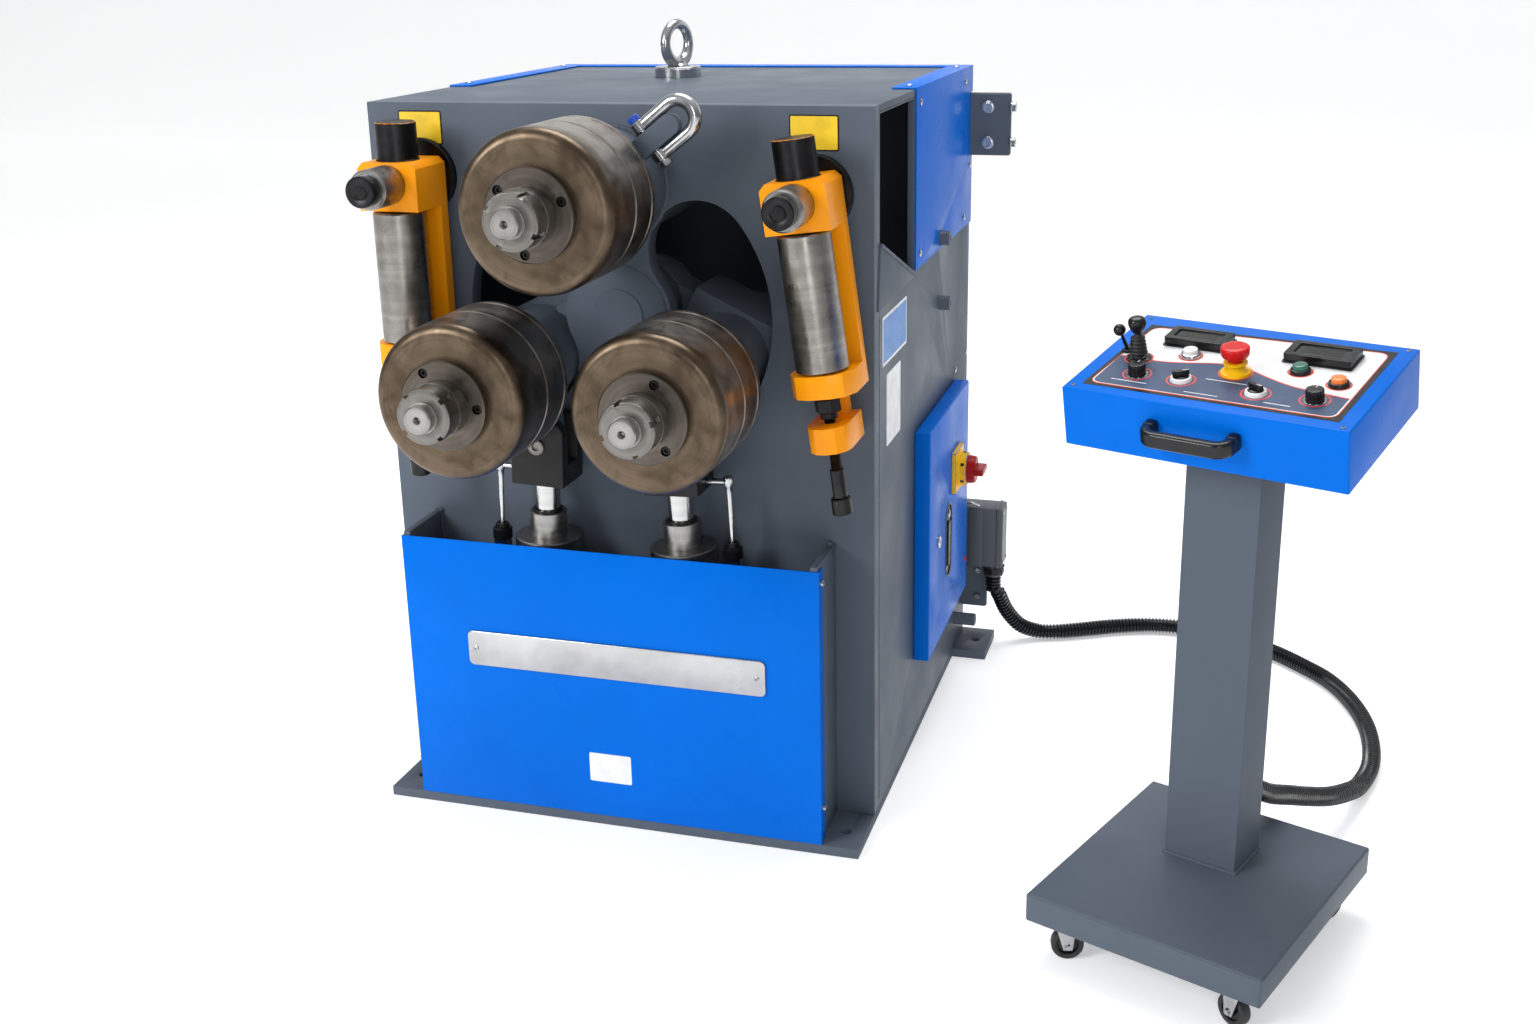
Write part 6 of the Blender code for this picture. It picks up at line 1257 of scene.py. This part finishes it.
def panel_sheet():
    corners = mm((-187, -119), (187, -115), (186, 118), (-184, 104))
    sheet_piece("panel_backing", corners, 0.0003, BLACK)
    inner = mm((-181, -112), (179, -108), (178, 111), (-176, 97))
    line = smooth_corners(inner, 0.018)
    sheet_piece("panel_outline", line, 0.00045, RED_LINE)
    field = smooth_corners(outset(inner, -0.0028), 0.016)
    sheet_piece("panel_white_field", field, 0.00055, WHITE_SHEET)
    left, right = -0.1775, 0.1755
    edge = [(left + (right - left) * i / 60, wave(left + (right - left) * i / 60)) for i in range(61)]
    bottom = smooth_corners([(left, -0.02), (left, -0.1085), (right, -0.1045), (right, -0.02)], 0.014)
    low = [p for p in bottom if p[1] < -0.080]
    navy = low + [(u, v) for u, v in reversed(edge)]
    sheet_piece("panel_navy_field", navy, 0.00065, NAVY_SHEET)
    band = [(u, v + 0.0014) for u, v in edge] + [(u, v - 0.0014) for u, v in reversed(edge)]
    sheet_piece("panel_wave_line", band[::-1], 0.00075, RED_LINE)
    for name, (u, v, radius) in CONTROL_RINGS.items():
        sheet_piece("panel_ring_" + name, circle((u, v), radius, 56), 0.00085, RED_LINE,
                [circle((u, v), radius - 0.0026, 56)])
    dashes = ((-0.040, -0.098, 0.010, -0.0965), (0.074, -0.094, 0.112, -0.0925),
              (-0.155, -0.092, -0.100, -0.0905), (-0.028, -0.050, 0.032, -0.0484))
    for index, (u0, v0, u1, v1) in enumerate(dashes):
        sheet_piece("panel_dash_%d" % index, rounded((u0, v0), (u1, v1), 0.0006, 3), 0.0008, WHITE_SHEET)


def displays():
    sizes = {"left": (-0.087, 0.062, 0.092, 0.044), "right": (0.098, 0.064, 0.096, 0.050)}
    for name, (u, v, width, depth) in sizes.items():
        low = (u - width / 2 - 0.0006, v - depth / 2 - 0.0006)
        high = (u + width / 2 + 0.0006, v + depth / 2 + 0.0006)
        placed(slab("display_foot_" + name, rounded((low[0] - 0.002, low[1] - 0.002),
                (high[0] + 0.002, high[1] + 0.002), 0.003, 4), 0.0, 0.003, PANEL, (), 0.0008), BLACK)
        well = rounded((low[0] + 0.011, low[1] + 0.009), (high[0] - 0.011, high[1] - 0.009), 0.003, 5)
        placed(slab("display_case_" + name, rounded(low, high, 0.003, 5), 0.0025, 0.014, PANEL, [well],
                0.0018, 3), BLACK)
        placed(slab("display_glass_" + name, rounded((low[0] + 0.01, low[1] + 0.008),
                (high[0] - 0.01, high[1] - 0.008), 0.003, 5), 0.004, 0.0116, PANEL, (), 0.0), GLASS)
        placed(slab("display_mask_" + name, rounded((low[0] + 0.02, low[1] + 0.015),
                (high[0] - 0.02, high[1] - 0.015), 0.002, 4), 0.004, 0.0118, PANEL, (), 0.0),
                moulded("display window " + name, (0.018, 0.02, 0.017), 0.12), slot="black_plastic")


def at_panel(u, v, turn=0.0):
    return PANEL @ Matrix.Translation((u, v, 0)) @ Matrix.Rotation(math.radians(turn), 4, "Z")


def control(name, turn=0.0):
    """The frame of a control in the middle of its ring."""
    return at_panel(*CONTROL_RINGS[name][:2], turn)


def push_buttons():
    lenses = {"white": (WHITE, ZINC), "green": (GREEN, BLACK), "orange": (AMBER, BLACK)}
    for name, (lens, bezel) in lenses.items():
        at = control(name)
        ring_profile = mm((10.9, 6), (12, 6.8), (13.6, 6.2), (14.8, 3.5), (15, 0), (10.9, 0))
        placed(lathe(name + "_bezel", ring_profile, at, 56), bezel, slot="machined_steel")
        cap = [(0, 0.013), (0.0085, 0.0129)] + rounded_corner(0.0087, 0.0109, 0.0019, 85, 0, 6)
        cap += [(0.0106, 0.0046), (0, 0.0046)]
        placed(lathe(name + "_lens", cap, at, 48), lens, name + "_cap", name + "_button")


def stop_button():
    at = control("stop")
    collar = mm((10.5, 19.5), (16, 19.5), (17.2, 18.5), (17.2, 16), (14.8, 14), (14.2, 10.5), (15, 7.5),
            (18, 5), (21.2, 4.2), (21.8, 3), (21.8, 0))
    placed(lathe("stop_collar", collar, at, 72), YELLOW)
    cap = mm((0, 43.8), (13, 43.6), (16.5, 42.8)) + rounded_corner(0.017, 0.039, 0.0036, 75, 0, 6)
    cap += mm((20.3, 34), (19.8, 30), (18.2, 27.2), (15, 25.6), (10, 24.6), (9.8, 6), (0, 6))
    placed(lathe("stop_cap_head", cap, at, 72), RED, "stop_cap", "emergency_stop")
    placed(lathe("stop_cap_face", mm((0, 44.1), (11.8, 44), (12.2, 43.6)), at, 64), RED, "stop_cap")


def fluted(name, radius, low, high, at, flutes=18, depth=0.0006):
    outline = [((radius - depth * (0.5 - 0.5 * math.cos(flutes * a))) * math.cos(a),
            (radius - depth * (0.5 - 0.5 * math.cos(flutes * a))) * math.sin(a))
            for a in (2 * math.pi * k / (flutes * 8) for k in range(flutes * 8))]
    return slab(name, outline, low, high, at, (), 0.0012, 3)


def dials():
    for name in SIDES:
        at = control(name + "_knob")
        placed(lathe(name + "_dial_ring", mm((10, 1.1), (14.6, 1.1), (15.6, 0.9), (16, 0)), at, 64), ZINC)
        placed(fluted(name + "_dial_cap", 0.0125, 0.005, 0.018, at), BLACK, name + "_dial", name + "_knob")
        placed(lathe(name + "_dial_skirt", mm((11.8, 5.5), (12.8, 4.8), (13, 1.4), (0, 1.4)), at, 56),
                BLACK, name + "_dial")
        placed(block(name + "_dial_mark", (-0.0005, 0.004, 0.0176), (0.0005, 0.0115, 0.0182), at, 0.0001,
                1), LABEL_WHITE, name + "_dial")
    for name, turn in (("left", 35), ("right", -20)):
        at = control(name + "_selector", turn)
        placed(lathe(name + "_switch_ring", mm((11.2, 6), (12.5, 6.8), (14.3, 6), (15.5, 3), (15.8, 0),
                (11.2, 0)), at, 64), LABEL_WHITE, slot="machined_steel")
        placed(lathe(name + "_switch_disc", mm((0, 7.6), (9.2, 7.6), (10.8, 6.6), (10.9, 1.2), (0, 1.2)),
                at, 56), BLACK, name + "_switch", name + "_selector")
        placed(slab(name + "_switch_wing", mm((-11.8, -2.4), (-6, -3.8), (6, -3.8), (11.8, -2.4),
                (11.8, 2.4), (6, 3.8), (-6, 3.8), (-11.8, 2.4)), 0.0068, 0.016, at, (), 0.0011, 3), BLACK,
                name + "_switch")
        placed(block(name + "_switch_line", (0.002, -0.0006, 0.0157), (0.0112, 0.0006, 0.0162), at, 0.0001,
                1), LABEL_WHITE, name + "_switch")


def joystick():
    at = control("joystick")
    base = mm((10.4, 3.6), (15, 3.8), (16.6, 3), (18.5, 2.6), (19, 0))
    placed(lathe("joystick_base", base, at, 64), BLACK)
    angles = [math.radians(6 * i) for i in range(1, 12)]
    ball = [(0, 0.01)] + [(0.01 * math.sin(a), 0.01 * math.cos(a)) for a in angles]
    placed(lathe("joystick_dome", ball, at, 48), RUBBER, "stick", "joystick")
    boot = []
    for i in range(5):
        low = 0.0088 + 0.0056 * i
        wide = 0.0134 - 0.0006 * i
        boot += [(wide - 0.0026, low), (wide - 0.0006, low + 0.0009), (wide, low + 0.002),
                (wide - 0.0006, low + 0.0032), (wide - 0.0026, low + 0.0044)]
    boot = [(0, 0.0088), *boot, (0.0052, 0.0385), (0.0045, 0.0400), (0, 0.0400)]
    placed(lathe("joystick_boot", boot, at, 56, angle=60), RUBBER, "stick")
    stem = mm((0, 46), (4.8, 45), (4.8, 38), (0, 37))
    placed(lathe("joystick_stem", stem, at, 32), BLACK, "stick")
    angles = [math.radians(70 - 14 * i) for i in range(6)]
    knob = [(0, 0.0672), (0.005, 0.0668)]
    knob += [(0.006 + 0.0072 * math.cos(a), 0.059 + 0.0072 * math.sin(a)) for a in angles]
    knob += mm((12.8, 53.5), (10, 46.5), (7, 42.5), (5, 41.5), (0, 41.5))
    placed(lathe("joystick_knob", knob, at, 56, angle=60), BLACK, "stick")


def small_lever():
    at = at_panel(-0.174, 0.004)
    base = mm((6.6, 3.4), (8.6, 3.8), (9.8, 2.8), (10, 0))
    placed(lathe("small_lever_base", base, at, 48), BLACK)
    dome = [(0, 0.0062)] + [(0.0062 * math.sin(a), 0.0062 * math.cos(a))
            for a in (math.radians(8 * i) for i in range(1, 9))]
    placed(lathe("small_lever_dome", dome, at, 36), RUBBER, "lever", "small_lever")
    lean = math.radians(22)
    tip = Vector((-0.25 * math.sin(lean), -math.sin(lean), math.cos(lean))) * 0.044
    heading = (PANEL.to_3x3() @ tip).normalized()
    start = at @ Vector((0, 0, 0))
    placed(lathe("small_lever_rod", mm((0, 40), (2, 40), (2.9, 12), (2.9, 4), (0, 4)), aim(start, heading),
            24), BLACK_STEEL, "lever", slot="black_plastic")
    ball = [(0, 0.0092)] + [(0.0091 * math.sin(a), 0.0091 * math.cos(a))
            for a in (math.radians(9 * i) for i in range(1, 18))]
    ball += [(0.0030, -0.0090), (0, -0.0090)]
    placed(lathe("small_lever_ball", ball, aim(at @ tip, heading), 40, angle=60), BLACK, "lever")


def console_grip():
    half, reach, corner, height = 0.061, 0.036, 0.018, -0.040
    middle = -0.0075
    front = -0.139
    path = [(-half, front + 0.0005)]
    path += [(x, front - reach + y) for x, y in arc((corner - half, corner), corner, 180, 270, 14)]
    path += [(x, front - reach + y) for x, y in arc((half - corner, corner), corner, 270, 360, 14)]
    path.append((half, front + 0.0005))
    points = [PANEL @ Vector((middle + x, y, height)) for x, y in dense_flat(path, 0.006)]
    section = rounded((-0.0082, -0.0118), (0.0082, 0.0118), 0.0055, 6)
    placed(sweep("grip_bow", points, lambda i: section, up=PANEL.to_3x3() @ Vector((0, 0, 1))), BLACK,
            "root", "console_grip")
    for word, side in SIDES.items():
        x = middle + side * half
        placed(slab("grip_foot_" + word, rounded((x - 0.0088, height - 0.0124),
                (x + 0.0088, height + 0.0124), 0.005, 6), -front, -front + 0.016, PANEL @ XZ, (), 0.002,
                3), BLACK)


console_box()
displays()
push_buttons()
stop_button()
dials()
joystick()
small_lever()
console_grip()


# Floor and light
def stage():
    """A pale floor that turns up into a pale wall far behind."""
    bend = [math.radians(6 * i) for i in range(1, 16)]
    path = [(-14.0, 0.0), (9.0, 0.0)]
    path += [(9.0 + 3.0 * math.sin(a), 3.0 - 3.0 * math.cos(a)) for a in bend]
    path.append((12.0, 9.0))
    shape = bmesh.new()
    rows = [[shape.verts.new((x, y, z - 0.0004)) for x in (-16, 16)] for y, z in path]
    for first, second in zip(rows, rows[1:]):
        shape.faces.new((first[0], first[1], second[1], second[0]))
    floor = new_mesh("floor", shape)
    floor.data.shade_smooth()
    net = Net("pale floor", (0.92, 0.922, 0.925), 0.7, Specular_IOR_Level=0.1)
    net.set("Emission Color", (1.0, 1.0, 1.0, 1.0))
    net.set("Emission Strength", 0.36)
    net.tint(net.ramp(net.noise(0.6, 4.0), (0.3, (0.905, 0.908, 0.912)), (0.7, (0.925, 0.928, 0.930))))
    net.bump(net.noise(260.0, 3.0), 0.02, 0.0005)
    floor.data.materials.append(net.material)


def soft_light(name, place, target, size, power):
    data = bpy.data.lights.new(name, "AREA")
    data.shape = "RECTANGLE"
    data.size, data.size_y = size
    data.energy = power
    light = bpy.data.objects.new(name, data)
    light.matrix_world = aim(place, Vector(place) - Vector(target))
    bpy.context.scene.collection.objects.link(light)


def surroundings():
    """A room that is bright above and dim at the height of the eye, and soft lights around."""
    world = bpy.data.worlds.new("pale room")
    bpy.context.scene.world = world
    world.use_nodes = True
    tree = world.node_tree
    background = tree.nodes["Background"]
    place = tree.nodes.new("ShaderNodeTexCoord")
    split = tree.nodes.new("ShaderNodeSeparateXYZ")
    ramp = tree.nodes.new("ShaderNodeValToRGB")
    tree.links.new(place.outputs["Generated"], split.inputs[0])
    tree.links.new(split.outputs["Z"], ramp.inputs["Fac"])
    tree.links.new(ramp.outputs["Color"], background.inputs["Color"])
    elements = ramp.color_ramp.elements
    elements[0].position, elements[0].color = 0.02, (0.34, 0.345, 0.355, 1.0)
    elements[1].position, elements[1].color = 0.75, (1.0, 1.0, 1.0, 1.0)
    middle = elements.new(0.30)
    middle.color = (0.50, 0.51, 0.53, 1.0)
    background.inputs["Strength"].default_value = 0.62
    soft_light("key", (-2.8, -4.0, 3.0), (0, -0.3, 0.7), (1.6, 2.4), 170)
    soft_light("fill", (1.8, -5.2, 1.8), (0.4, 0, 0.6), (1.0, 2.6), 45)
    soft_light("top", (0.2, 0.9, 4.4), (0.2, 0, 0.6), (2.6, 2.2), 130)
    scene = bpy.context.scene
    scene.view_settings.view_transform = "Standard"
    scene.view_settings.look = "None"
    scene.view_settings.exposure = 0.0


stage()
surroundings()
